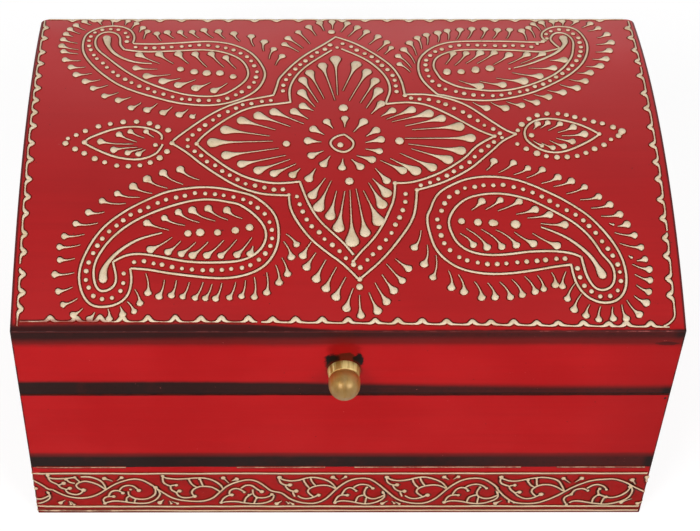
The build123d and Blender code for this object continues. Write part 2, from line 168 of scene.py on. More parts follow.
PAISLEYS = {
    "back_left": {
        "outer": (
            (-64.9, 48.2), (-64.4, 50.4), (-64.7, 53.5), (-65.9, 56.7), (-68.4, 59), (-71.5, 59.8),
            (-74.9, 59), (-78, 56.7), (-79.9, 53.8), (-80.5, 50.4), (-80.5, 46.5), (-80.1, 43.1),
            (-78.8, 39.2), (-76.7, 35.4), (-74.2, 31.7), (-71.1, 28.1), (-68, 25), (-63.8, 22.3),
            (-59.5, 20.2), (-55.3, 18.5), (-51.5, 16.9), (-46.5, 15.7), (-40.8, 15.2),
            (-36.2, 15.8), (-31.9, 17.5), (-28.1, 20), (-25.4, 23.1), (-23.8, 26.9), (-23.1, 30.8),
            (-24, 34.6), (-25.6, 38.8), (-28.1, 43.1), (-31.5, 46.2), (-35.4, 48.3), (-39.6, 49.2),
            (-43.5, 49.2), (-49.2, 48.5), (-54.2, 47.9), (-60, 47.5), (-64.7, 47.9),
        ),
        "inner": (
            (-67.2, 44.1), (-68.6, 46.4), (-68.9, 48.6), (-68.9, 51), (-69.7, 53.7), (-71.7, 55.4),
            (-73.8, 55.5), (-75.9, 53.8), (-76.8, 50.8), (-76.6, 46.9), (-75.3, 43.5),
            (-72.9, 40.4), (-69.9, 36.5), (-66.8, 32.7), (-63.4, 29.4), (-59.5, 26.3),
            (-55.7, 24), (-51.5, 21.9), (-47.3, 20.2), (-42.7, 19.5), (-38.5, 19.5), (-35, 20.8),
            (-31.5, 24.2), (-29.2, 27.3), (-28.3, 30.4), (-28.8, 34.2), (-30.4, 38.1),
            (-33.1, 40.8), (-36.2, 42.7), (-39.6, 43.8), (-43.5, 44.2), (-48.5, 43.7),
            (-54.2, 43.2), (-59.5, 42.9), (-63.8, 43.2), (-67, 44.2),
        ),
        "curl": (
            (-73.2, 51.4), (-72.9, 49), (-72.6, 46.9), (-71.1, 43.1), (-68.4, 39.8),
            (-65.3, 37.7), (-62.2, 36.5), (-58.4, 36.2),
        ),
        "drops": (
            (-56, 36.3, -62.4, 41.1, 1.2), (-51.7, 36.2, -56.2, 41.4, 1.3), (-47, 36.3, -50.2, 41.5, 1.2),
            (-41.3, 34.3, -45, 41.5, 1.2), (-36, 34.3, -40, 41.6, 1.2), (-32.3, 33.5, -35.4, 39.4, 1.1),
            (-56.5, 33.2, -63, 33.7, 1.2), (-52.4, 30.4, -59.5, 29.5, 1.4), (-49.3, 28.4, -54.5, 26.9, 1.3),
            (-44.6, 27.8, -49.7, 25, 1.3), (-40, 26.3, -44.4, 23.5, 1.3), (-34.8, 26, -38.8, 22.3, 1.2),
        ),
        "spots": (
            (-49.4, 33.1, 1.25), (-45.1, 31.7, 1.3), (-41.2, 31, 1.3), (-37.2, 31, 1.3), (-33.1, 29.2, 1.2),
        ),
        "fringe": (
            (-20, 35.4, -18, 40.2, 1), (-22, 38.8, -20.6, 44.3, 1.05), (-23.7, 43.4, -23.5, 48.8, 1.1),
            (-26.8, 46.3, -27.6, 52.3, 1.1), (-31.2, 49.3, -33.1, 54.2, 1.1), (-35.9, 51.1, -38, 55.6, 1.1),
            (-39.7, 51.6, -42.6, 56.5, 1.1), (-44, 51.3, -46.3, 55.3, 1.1), (-47.8, 51.5, -50.1, 55.2, 1.1),
            (-51.9, 51.2, -54.2, 55, 1.1), (-56, 49.6, -57.5, 54.2, 1.1), (-61.5, 50.8, -60.6, 55.6, 1.05),
            (-63.1, 55.4, -62.2, 58.1, 1), (-65.8, 57.4, -64.4, 61.2, 1), (-67.8, 60.4, -67.2, 63.1, 0.95),
            (-71.8, 60, -71.9, 63.5, 0.95), (-75.4, 60.4, -76.3, 63.3, 0.95), (-78.8, 60.3, -81, 62.8, 1),
            (-80.3, 56.7, -83.5, 60, 1.05), (-81.8, 54.2, -85.2, 57.2, 1.05), (-84, 52.5, -86.2, 54, 1),
            (-82.3, 48.1, -86.8, 50.4, 1.1), (-81.6, 44.2, -86.9, 46.4, 1.1), (-81.6, 41.8, -86.1, 43.1, 1.1),
            (-80.5, 37.9, -85.2, 38.3, 1.1), (-78.8, 34.4, -83.1, 34.2, 1.1), (-76.6, 31, -81.2, 30.3, 1.1),
            (-73.8, 27.7, -78.2, 26.8, 1.1), (-71.3, 25, -75.6, 23.4, 1.1), (-67.9, 21.4, -71.9, 19.7, 1.1),
            (-63.9, 19.3, -67.6, 17.7, 1.1), (-60.8, 16.6, -63.6, 14.2, 1.15), (-55.9, 16.2, -58.8, 13.3, 1.15),
            (-51.3, 14.8, -53.9, 12.1, 1.1), (-46.5, 13.6, -49, 11.2, 1.1), (-44.2, 11.4, -45, 10.4, 1),
        ),
    },
    "back_right": {
        "outer": (
            (65.3, 49.4), (64.3, 51.3), (64.2, 53.1), (64.8, 55.4), (66.3, 57.3), (68.2, 58.8),
            (70.5, 59.3), (72.8, 59), (74.8, 58.1), (76.2, 56.2), (77.1, 53.8), (77.7, 50.8),
            (78, 48.1), (77.8, 45), (77.1, 41.5), (75.9, 38.1), (74.4, 35.2), (72.1, 32.1),
            (69.8, 29.6), (66.3, 26.7), (62.8, 24.2), (59.2, 21.9), (56, 20.4), (52.1, 19),
            (48.2, 18), (44.4, 17.5), (40.5, 17.6), (36.7, 18.1), (33.6, 19), (30.9, 20.1),
            (29.3, 20.2), (28.1, 21.9), (26.1, 25), (24.7, 28.1), (24, 31.9), (24.1, 35.8),
            (24.8, 39.2), (26.3, 41.9), (28.2, 44.6), (30.9, 46.9), (34, 48.6), (37.5, 49.2),
            (42.1, 49.4), (47.5, 49.4), (52.1, 49.3), (55.9, 49.1), (60.9, 48.7), (64.6, 48.7),
        ),
        "inner": (
            (69.2, 44.9), (68.2, 46.5), (67.3, 48.5), (66.7, 50.4), (67.1, 52.3), (68.2, 54.2),
            (69.8, 55.1), (71.5, 54.6), (72.8, 53.1), (73.6, 50.8), (73.8, 48.5), (73.4, 45.8),
            (72.9, 43.1), (72.3, 40.4), (71.1, 37.7), (69.4, 34.6), (67.5, 32.2), (65.2, 29.8),
            (62.5, 27.9), (59.8, 26.2), (56.8, 24.6), (52.8, 23), (49, 22.2), (45.2, 22.1),
            (41.3, 22.7), (37.5, 23.5), (35.2, 24.4), (33.2, 25.8), (31.7, 27), (30.6, 28.1),
            (29.7, 30.8), (28.8, 33.8), (28.9, 36.5), (29.8, 39.2), (31.7, 41.3), (34.4, 42.9),
            (37.1, 43.9), (40.5, 44.2), (45.2, 44.1), (49.8, 44), (53.8, 43.9), (57.6, 43.4),
            (61.3, 42.9), (64, 43), (66.3, 43.7), (69, 44.9),
        ),
        "curl": (
            (70.9, 51.3), (71.2, 49.2), (70.9, 47.4), (69.9, 45.4), (68.4, 43.1), (65.9, 40.8),
            (63.2, 38.8), (59.8, 36.6), (56.3, 34.8), (53.6, 33.8),
        ),
        "drops": (
            (32.7, 35.8, 35.3, 41.9, 1.1), (35.5, 35.2, 39.4, 41.9, 1.1), (39, 36.3, 43.8, 42.1, 1.15),
            (42.5, 36.3, 48.2, 42.3, 1.2), (47.5, 35.6, 52.7, 41, 1.3), (52.1, 36, 58.3, 41.3, 1.2),
            (55.9, 36.2, 63.2, 41.7, 1.2), (36.1, 27.3, 42.1, 24.4, 1.3), (42.4, 26.9, 49.2, 25, 1.4),
            (47.7, 28.5, 55.7, 26.9, 1.5), (52.8, 31.3, 60.9, 29.4, 1.4), (58, 33.8, 65.7, 33.7, 1.3),
            (65.2, 38.1, 69.4, 38.1, 1.3),
        ),
        "spots": (
            (32.7, 31.4, 1.25), (32.8, 32, 1.2), (37.1, 31.7, 1.25), (41.6, 32.4, 1.15), (41.7, 33.1, 1.15),
            (46.1, 33.5, 1.25), (52.2, 33.3, 0.45),
        ),
        "fringe": (
            (21.5, 31.6, 18.4, 35.7, 1), (21.9, 34, 18.2, 40.3, 1.05), (23.2, 36.3, 20.2, 44, 1.1),
            (23.9, 41, 22.2, 48.1, 1.1), (25.7, 44.6, 24.8, 51.3, 1.15), (27.7, 47.3, 27.8, 53.2, 1.15),
            (31.3, 48.8, 31.5, 54.6, 1.15), (34.6, 50.4, 34.6, 56, 1.1), (37.2, 50.6, 38.7, 56.7, 1.1),
            (40.7, 51, 42.5, 57.3, 1.1), (45, 51.2, 46.6, 57.1, 1.1), (48.8, 51.2, 50.6, 56.5, 1.1),
            (53, 51, 54.5, 56.7, 1.15), (59.2, 50.2, 58.3, 56, 1.1), (62, 51.7, 60.7, 58.1, 1.05),
            (64.4, 56.3, 62.5, 60.8, 1.05), (66.1, 58.7, 65.3, 61.9, 1.05), (68.8, 59.6, 68.8, 62.7, 1),
            (71.8, 60, 72, 62.9, 1), (74.4, 60, 76.3, 63, 1.05), (77.8, 58.5, 80.7, 61.2, 1.1),
            (79.4, 56, 82.8, 57.9, 1.1), (81.7, 51.5, 85, 53.7, 1.1), (80.9, 47.3, 85.5, 48.5, 1.2),
            (80, 42.7, 84.2, 43.5, 1.2), (78.4, 38.7, 82.5, 38.7, 1.2), (75.9, 34.6, 80.3, 34.8, 1.2),
            (72.8, 31.2, 76.7, 31.2, 1.2), (70, 27.8, 74.6, 26.9, 1.25), (66.9, 25.2, 71.7, 23.5, 1.25),
            (62.8, 22.4, 67.2, 21.3, 1.25), (58.4, 20.5, 62.6, 19.2, 1.3), (55, 18.3, 58.7, 16.6, 1.3),
            (49.8, 17.1, 54.1, 15.3, 1.25), (45, 16.7, 49.1, 14.1, 1.25), (39.6, 16.7, 43.4, 14.1, 1.2),
        ),
    },
    "front_left": {
        "outer": (
            (-61.7, -45.5), (-61.2, -48), (-61.4, -51.5), (-62.3, -54.2), (-64.2, -56.1),
            (-66.5, -57.1), (-69.3, -57.5), (-71.7, -57.2), (-73.5, -55.9), (-75, -53.6),
            (-76, -50.3), (-76.2, -47.2), (-75.8, -44.2), (-74.8, -41.1), (-73.5, -38),
            (-71.7, -34.6), (-69.6, -31.7), (-67.3, -29.3), (-64.6, -27), (-61.9, -25),
            (-58.8, -23.1), (-55, -21), (-52.2, -19.6), (-48.3, -18.6), (-44.5, -18), (-40.6, -17.8),
            (-36.8, -18.1), (-32.9, -19), (-29.1, -20.1), (-26.8, -20.9), (-23.3, -23.8),
            (-20.6, -27.2), (-19.5, -31.1), (-19.4, -35.7), (-20.2, -39.5), (-21.8, -42.6),
            (-24.1, -45.2), (-27.5, -47.1), (-31.4, -48.2), (-35.2, -48.6), (-39.5, -48.4),
            (-43.7, -47.9), (-48.3, -47.3), (-52.2, -46.7), (-57.3, -45.6), (-61.6, -45.4),
        ),
        "inner": (
            (-66.7, -43.3), (-66, -46.1), (-65.5, -48.8), (-66, -50.9), (-67.7, -52.3),
            (-69.6, -52.7), (-71, -51.7), (-71.9, -49.2), (-72.2, -45.7), (-71.5, -42.6),
            (-70, -39.5), (-68.1, -36.5), (-65.4, -33.4), (-61.9, -30.4), (-58.1, -28), (-54, -26),
            (-51.4, -24.9), (-47.5, -23.5), (-44.1, -22.6), (-40.6, -22.2), (-37.5, -22.4),
            (-34.5, -23.1), (-31.4, -23.7), (-29.5, -24.9), (-27.2, -26.8), (-24.8, -29.5),
            (-23.3, -32.2), (-22.9, -35.3), (-24, -38.5), (-26, -40.8), (-28.7, -42.4),
            (-31.4, -43.2), (-35.2, -43.5), (-39.8, -43.6), (-44.5, -43.4), (-48.3, -42.8),
            (-52.2, -41.9), (-56.5, -41), (-59.6, -40.7), (-62.3, -41), (-64.6, -41.9), (-66.5, -43.2),
        ),
        "curl": (
            (-69.3, -48.9), (-69.5, -47), (-68.6, -44.3), (-66.9, -41.8), (-64.6, -39.4),
            (-61.5, -37), (-58.1, -35.2), (-52.9, -33.8),
        ),
        "drops": (
            (-50, -35.3, -56, -39.3, 1.2), (-47.5, -36.5, -51, -40.1, 1.1), (-43.2, -36.9, -47.2, -40.7, 1.1),
            (-39.6, -36.8, -44, -41.2, 1.15), (-35.2, -36.3, -39.9, -41.2, 1.1),
            (-31.5, -36.1, -35.9, -41.3, 1.1), (-27.1, -35.3, -31.3, -41, 1.2),
            (-26.8, -38.2, -27.5, -40.6, 1.1), (-51, -32.9, -57.3, -30.5, 1.2),
        ),
        "hooked_drops": (
            (-46.4, -31.3, -52.3, -28.8, 1.15), (-42.3, -30.3, -48.3, -26.8, 1.15),
            (-37.7, -29.8, -44.3, -26.1, 1.2), (-34.1, -29.4, -39.7, -25.5, 1.15),
            (-29.9, -29, -34.3, -26.1, 1.15),
        ),
        "spots": (
            (-45.5, -34, 1.1), (-42, -33.7, 1.15), (-37, -33.7, 1.15), (-31.9, -33, 1.15), (-27.8, -32, 1.15),
        ),
        "hooked_fringe": (
            (-42.5, -15.2, -48.1, -11.3, 1.3), (-47.3, -16.8, -53.1, -12.6, 1.3),
            (-51.8, -18.2, -57.7, -14.9, 1.25), (-56.2, -20.1, -61.7, -17.6, 1.25),
            (-59.7, -21.5, -66.2, -20.2, 1.1), (-63.7, -23.7, -70.5, -22.8, 1.1),
            (-69.8, -26.7, -74.2, -26.8, 1.05), (-71.5, -30.5, -77.7, -30.7, 1.05),
        ),
        "fringe": (
            (-75.2, -34.3, -80.8, -34.9, 1.05), (-76.2, -37.8, -82, -38.5, 1.05),
            (-77.6, -42.2, -81.7, -42.7, 1), (-77.6, -46.8, -82.9, -47.3, 1.05),
            (-77.9, -51.3, -81.7, -52.6, 1.05), (-76.3, -54.8, -80.2, -56.7, 1),
            (-74.7, -57.8, -77.2, -59.8, 1.05), (-71.3, -59, -72.6, -61, 1),
            (-67.6, -58, -67.2, -60.9, 1), (-64.2, -57.4, -63.5, -59.6, 1),
            (-62.3, -55.7, -60.3, -58.7, 1), (-60.2, -52, -58.7, -56.2, 1), (-57.2, -47, -56.5, -53, 1.05),
            (-51.9, -49.1, -53.3, -54.1, 1.05), (-48.5, -49.2, -49.8, -53.8, 1),
            (-44.8, -49.8, -46.6, -54.2, 1.05), (-40.9, -49.8, -43.1, -54.6, 1.05),
            (-38.4, -50.4, -40.2, -54.7, 1), (-35.6, -50.1, -37.3, -54.8, 1), (-31.7, -49.9, -33.4, -54.5, 1),
            (-28.9, -49.2, -30, -54.1, 1), (-26.4, -48.2, -26.4, -54.3, 1.05), (-22.9, -46.7, -22.9, -52.9, 1.05),
            (-20.3, -44.4, -19.4, -49.8, 1.1), (-18.6, -42, -17, -47.1, 1.1), (-18, -36.7, -15.9, -41.7, 1.1),
            (-17.3, -34.2, -14.4, -37.6, 1.1),
        ),
    },
    "front_right": {
        "outer": (
            (63.8, -44.2), (64.2, -48), (65.3, -51.2), (66.9, -53.6), (69, -55.3), (71.7, -56.3),
            (74.8, -56.1), (77.1, -54.7), (78.7, -52.2), (79.3, -48.8), (79.1, -44.9), (78.2, -41.1),
            (76.5, -37.2), (74.4, -33.7), (71.9, -30.2), (69.4, -27.3), (65.9, -24.4), (62.5, -21.8),
            (58.4, -19.3), (53.9, -16.7), (50.1, -15.1), (46.2, -14.2), (41.6, -13.9), (37.8, -14.3),
            (34.3, -15.3), (31.2, -17), (28.5, -18.7), (26.6, -20.7), (25.3, -23.4), (24.5, -25.9),
            (23.5, -27.8), (23.4, -30.7), (24, -34.2), (24.9, -38), (26.6, -41.1), (28.9, -43.4),
            (31.6, -45.3), (35.1, -46.5), (38.5, -47.1), (42.4, -47.3), (46.2, -47.1), (50.8, -46.5),
            (55.9, -45.6), (59.8, -44.8), (63.6, -44.3),
        ),
        "inner": (
            (66.9, -41.8), (67.3, -44.5), (68, -48), (69.4, -50.9), (71, -52.3), (73.2, -52.3),
            (75.2, -50.9), (76, -48.4), (75.9, -45.7), (74.9, -43.4), (72.9, -41), (71.7, -38.4),
            (70, -35.3), (67.8, -32.5), (65.5, -30.2), (62.5, -28), (59.8, -26.2), (56.7, -24.2),
            (53.9, -22.5), (50.5, -21.3), (47, -20.4), (43.2, -20.1), (39.7, -20.5), (36.6, -21.3),
            (33.9, -22.8), (31.6, -25.3), (30.1, -28), (29.5, -30.3), (29.9, -33), (31.2, -36.5),
            (33.2, -38.8), (35.8, -40.3), (39.3, -41.1), (43.2, -41.2), (47.4, -40.8), (51.6, -40.1),
            (56, -39.9), (59.4, -39.9), (62.8, -40.3), (65.2, -40.9), (66.8, -41.8),
        ),
        "curl": (
            (72.5, -47.7), (72, -46.4), (71.3, -44.9), (70, -42.2), (68.2, -39.9), (65.9, -37.6),
            (63.2, -35.4), (59.8, -33.5), (56.1, -31.9),
        ),
        "drops": (
            (36.4, -26.1, 39.5, -23, 1.1), (40.5, -25.9, 44.9, -22.6, 1.1), (44, -26.3, 50.3, -23.1, 1.2),
            (49.3, -27.5, 54.7, -25.9, 1.2), (52.4, -28.8, 58.7, -27.7, 1.35), (56.1, -30.7, 62.8, -31.1, 1.3),
            (48.3, -33.6, 53.4, -37.4, 1.3), (53.5, -34, 60.1, -38.1, 1.3),
        ),
        "hooked_drops": (
            (32.6, -34, 36.2, -37.8, 1.15), (34.5, -32.4, 40.1, -38.6, 1.2),
            (38.9, -32.7, 44.3, -38.4, 1.2), (43, -32.8, 48.5, -37.9, 1.2),
        ),
        "spots": (
            (33.3, -29.9, 1.2), (38, -30.3, 1.2), (42.2, -30.5, 1.15), (42.9, -30.6, 1.1), (48.8, -31, 1.35),
        ),
        "hooked_fringe": (
            (21.5, -33, 19.4, -38.6, 1.15), (23.1, -37.8, 22, -44, 1.15), (25.5, -41.2, 24.3, -48.2, 1.15),
            (28.8, -46.2, 29.4, -51.4, 1.1), (31.6, -47.5, 32.9, -52.7, 1.1), (36, -49.6, 37.8, -54.5, 1.05),
            (39.8, -50.1, 41.6, -54.4, 1.05), (43.2, -49.8, 45.9, -54.4, 1.05), (46.7, -49, 49.3, -53.7, 1.05),
            (50.4, -48.1, 53, -52.7, 1.05), (54, -47.7, 55.5, -51.9, 1), (58.1, -46.8, 58.9, -50.6, 1.05),
        ),
        "fringe": (
            (41.6, -11.6, 44, -8.2, 1.2), (45.2, -12.5, 49.7, -8.8, 1.15), (49.5, -13.3, 53.8, -10.9, 1.15),
            (53.2, -14.5, 58, -11.4, 1.15), (57.4, -16.5, 62.3, -14.3, 1.15), (60.8, -17.7, 66.1, -15.7, 1.15),
            (64.4, -20.3, 69.8, -17.9, 1.15), (68.2, -22.4, 73.5, -21.4, 1.15), (71.1, -25.4, 76.5, -24.2, 1.15),
            (73.7, -28.2, 79, -27.6, 1.15), (78.2, -31.6, 80.8, -31, 1.15), (75.9, -30.6, 76.9, -31.1, 0.4),
            (77.1, -33.8, 82.6, -34.7, 1.15), (78.3, -37.4, 84.1, -38.7, 1.1), (82.6, -43, 84.9, -42.6, 1.05),
            (80.5, -41.4, 81.2, -42, 0.4), (81.3, -44.2, 85.8, -45.8, 1.1), (81.7, -47.4, 85.7, -49.2, 1.05),
            (81.8, -50.7, 85.1, -52.8, 1.1), (81, -54.1, 84.1, -56.2, 1.15), (78.8, -55.4, 81.9, -59.7, 1.15),
            (77.3, -56.8, 78.2, -60.9, 1.1), (74.7, -57.5, 74.6, -60.9, 1.1), (71.3, -57.3, 70.5, -61.2, 1.1),
            (68.2, -56.8, 67, -60, 1.15), (66.2, -53.4, 63.8, -58.2, 1.2), (64.6, -50.1, 62.1, -54.9, 1.1),
            (62.2, -46.5, 60.9, -51, 1.1),
        ),
    },
}

# Pointed leaves at the star's left and right tips: two edges, beads round them, drops inside
LEAVES = {
    "left": {
        "edges": (
            ((-76.9, -0.5), (-76.3, 0.8), (-73.5, 2.4), (-70.4, 4.1), (-67.3, 5.3), (-64.2, 5.9),
             (-61.2, 5.9), (-58.5, 5.4), (-56.2, 4.4), (-54.4, 3), (-53.8, 1.2), (-54.2, 0.6)),
            ((-76.9, -0.7), (-76.2, -1.5), (-73.5, -3.3), (-70.4, -5.1), (-67.3, -6.5), (-64.2, -7.2),
             (-61.2, -7.5), (-58.5, -6.9), (-56.2, -5.7), (-54.6, -4), (-53.7, -1.5)),
        ),
        "beads": (
            (-82.5, -1, 1), (-81.9, 1, 0.75), (-79.5, 2.4, 0.85), (-76.9, 4.1, 0.9), (-73.1, 6, 0.95),
            (-69.6, 7.1, 0.9), (-65.8, 7.9, 0.9), (-61.8, 8, 0.85), (-57.9, 7.3, 0.9), (-55.4, 5.8, 0.85),
            (-52.2, 4.4, 0.95), (-79.5, -3.3, 1), (-76.7, -5, 0.9), (-73.5, -7.1, 0.9), (-70.5, -8.5, 0.85),
            (-66.9, -9.8, 0.9), (-63.5, -10, 0.85), (-60.1, -9.7, 0.85), (-57.1, -8.6, 0.9),
            (-54.4, -6.8, 0.95), (-52.3, -4.3, 0.85), (-55.8, -1.7, 0.75), (-76.9, -0.6, 0.9),
        ),
        "hooked_drops": (
            (-62.4, -1.2, -72, -0.3, 1.25), (-61.4, -0.4, -66.7, 2.6, 1.05), (-59.2, 1.2, -63.4, 3.8, 1),
            (-56.3, 1.5, -58.7, 3.8, 0.95),
        ),
        "drops": (
            (-61.1, -2.6, -67.9, -3.6, 1.15), (-59.6, -3.1, -63.8, -4.8, 1.1), (-58.7, -3.5, -60.6, -5.2, 1.1),
        ),
    },
    "right": {
        "edges": (
            ((76.3, 2.8), (74.5, 4.3), (72.2, 6), (69.5, 7.4), (66.5, 8.5), (63.8, 9.2), (61.1, 9.4),
             (58.4, 8.9), (56.4, 7.7), (54.9, 6), (54.1, 4.1), (54, 2.2), (54.4, 0.2), (56.1, -1.8),
             (58, -3.4), (60.3, -4.5), (63, -4.8), (65.7, -4.2), (68.8, -2.7), (71.8, -0.9), (74.5, 1),
             (76.2, 2.6)),
        ),
        "beads": (
            (55.9, 9.2, 0.85), (58.5, 10.8, 0.9), (61.5, 11.5, 0.9), (64.8, 11.5, 0.8), (67.3, 10.9, 0.85),
            (69.7, 10, 0.9), (72.5, 9, 0.85), (75.1, 8, 0.85), (77.7, 7.2, 0.9), (80.7, 5.6, 1),
            (83.2, 3.9, 1.1), (82.6, 3, 0.7), (81.9, 2, 0.85), (79.5, 0.5, 0.75), (77.2, -1.7, 0.9),
            (74.2, -3.3, 0.85), (71.5, -4.9, 0.85), (68.8, -6.1, 0.85), (65.8, -6.5, 0.85),
            (62.8, -6.6, 0.95), (59.7, -6.2, 0.85), (57, -5.1, 0.95), (54, -3.3, 0.95), (51.5, -1.3, 0.8),
            (52.1, 4.3, 0.8), (53.5, 6.8, 0.9), (56, 2.2, 0.8), (76.2, 2.8, 0.85),
        ),
        "hooked_drops": (),
        "drops": (
            (56.9, 4.8, 58.2, 7, 1), (59, 5.3, 61.3, 7.5, 1.05), (61.2, 4.3, 64.9, 7, 1.1),
            (64, 3.4, 68.7, 5.6, 1.2), (65, 2.1, 71.6, 2.7, 1.3), (63.3, 1.1, 67.8, -0.3, 1.15),
            (61.3, 0.1, 65.1, -2.2, 1.1), (58.8, -0.9, 61.8, -2.8, 1), (56.3, 0.1, 58.7, -2, 0.8),
        ),
    },
}

# Where the wavy border's peaks stand along each side of the lid
BORDER_LEFT = (
    58.3, 51.2, 42.7, 36.2, 29.6, 23.5, 17.7, 12.2, 6.2, -0.9, -7.4, -14.9, -21.3, -27.1, -34.2,
    -40.1, -47.3, -53, -58,
)
BORDER_RIGHT = (
    57.9, 51.5, 43.8, 37.3, 29.6, 20.8, 13.9, 5.7, -1.7, -8.5, -14.9, -22.4, -29, -35.7, -41.5,
    -48.8, -54,
)
BORDER_FRONT = (
    -83.8, -76.5, -69.8, -63.5, -56.3, -48.6, -41.4, -35.6, -28, -21.2, -14.8, -7.3, 0, 7.6, 14,
    20.8, 27.7, 34.9, 40.1, 46.5, 53, 59, 66.1, 73.2, 78.2, 85,
)
# Where the right line curls round into the front one
BORDER_CORNER = ((92.0, -57.3), (92.1, -59.5), (91.7, -61), (90.9, -61.9), (89.6, -63), (88.6, -63.3))
BORDER_BACK = (
    -85, -78, -71, -64, -57, -50, -41.7, -35, -26.6, -19.6, -12.5, -5.6, 1.6, 8.8, 15.9, 22.9,
    29.5, 36.3, 43.4, 50.4, 57, 63.5, 70, 76.3, 84.2,
)

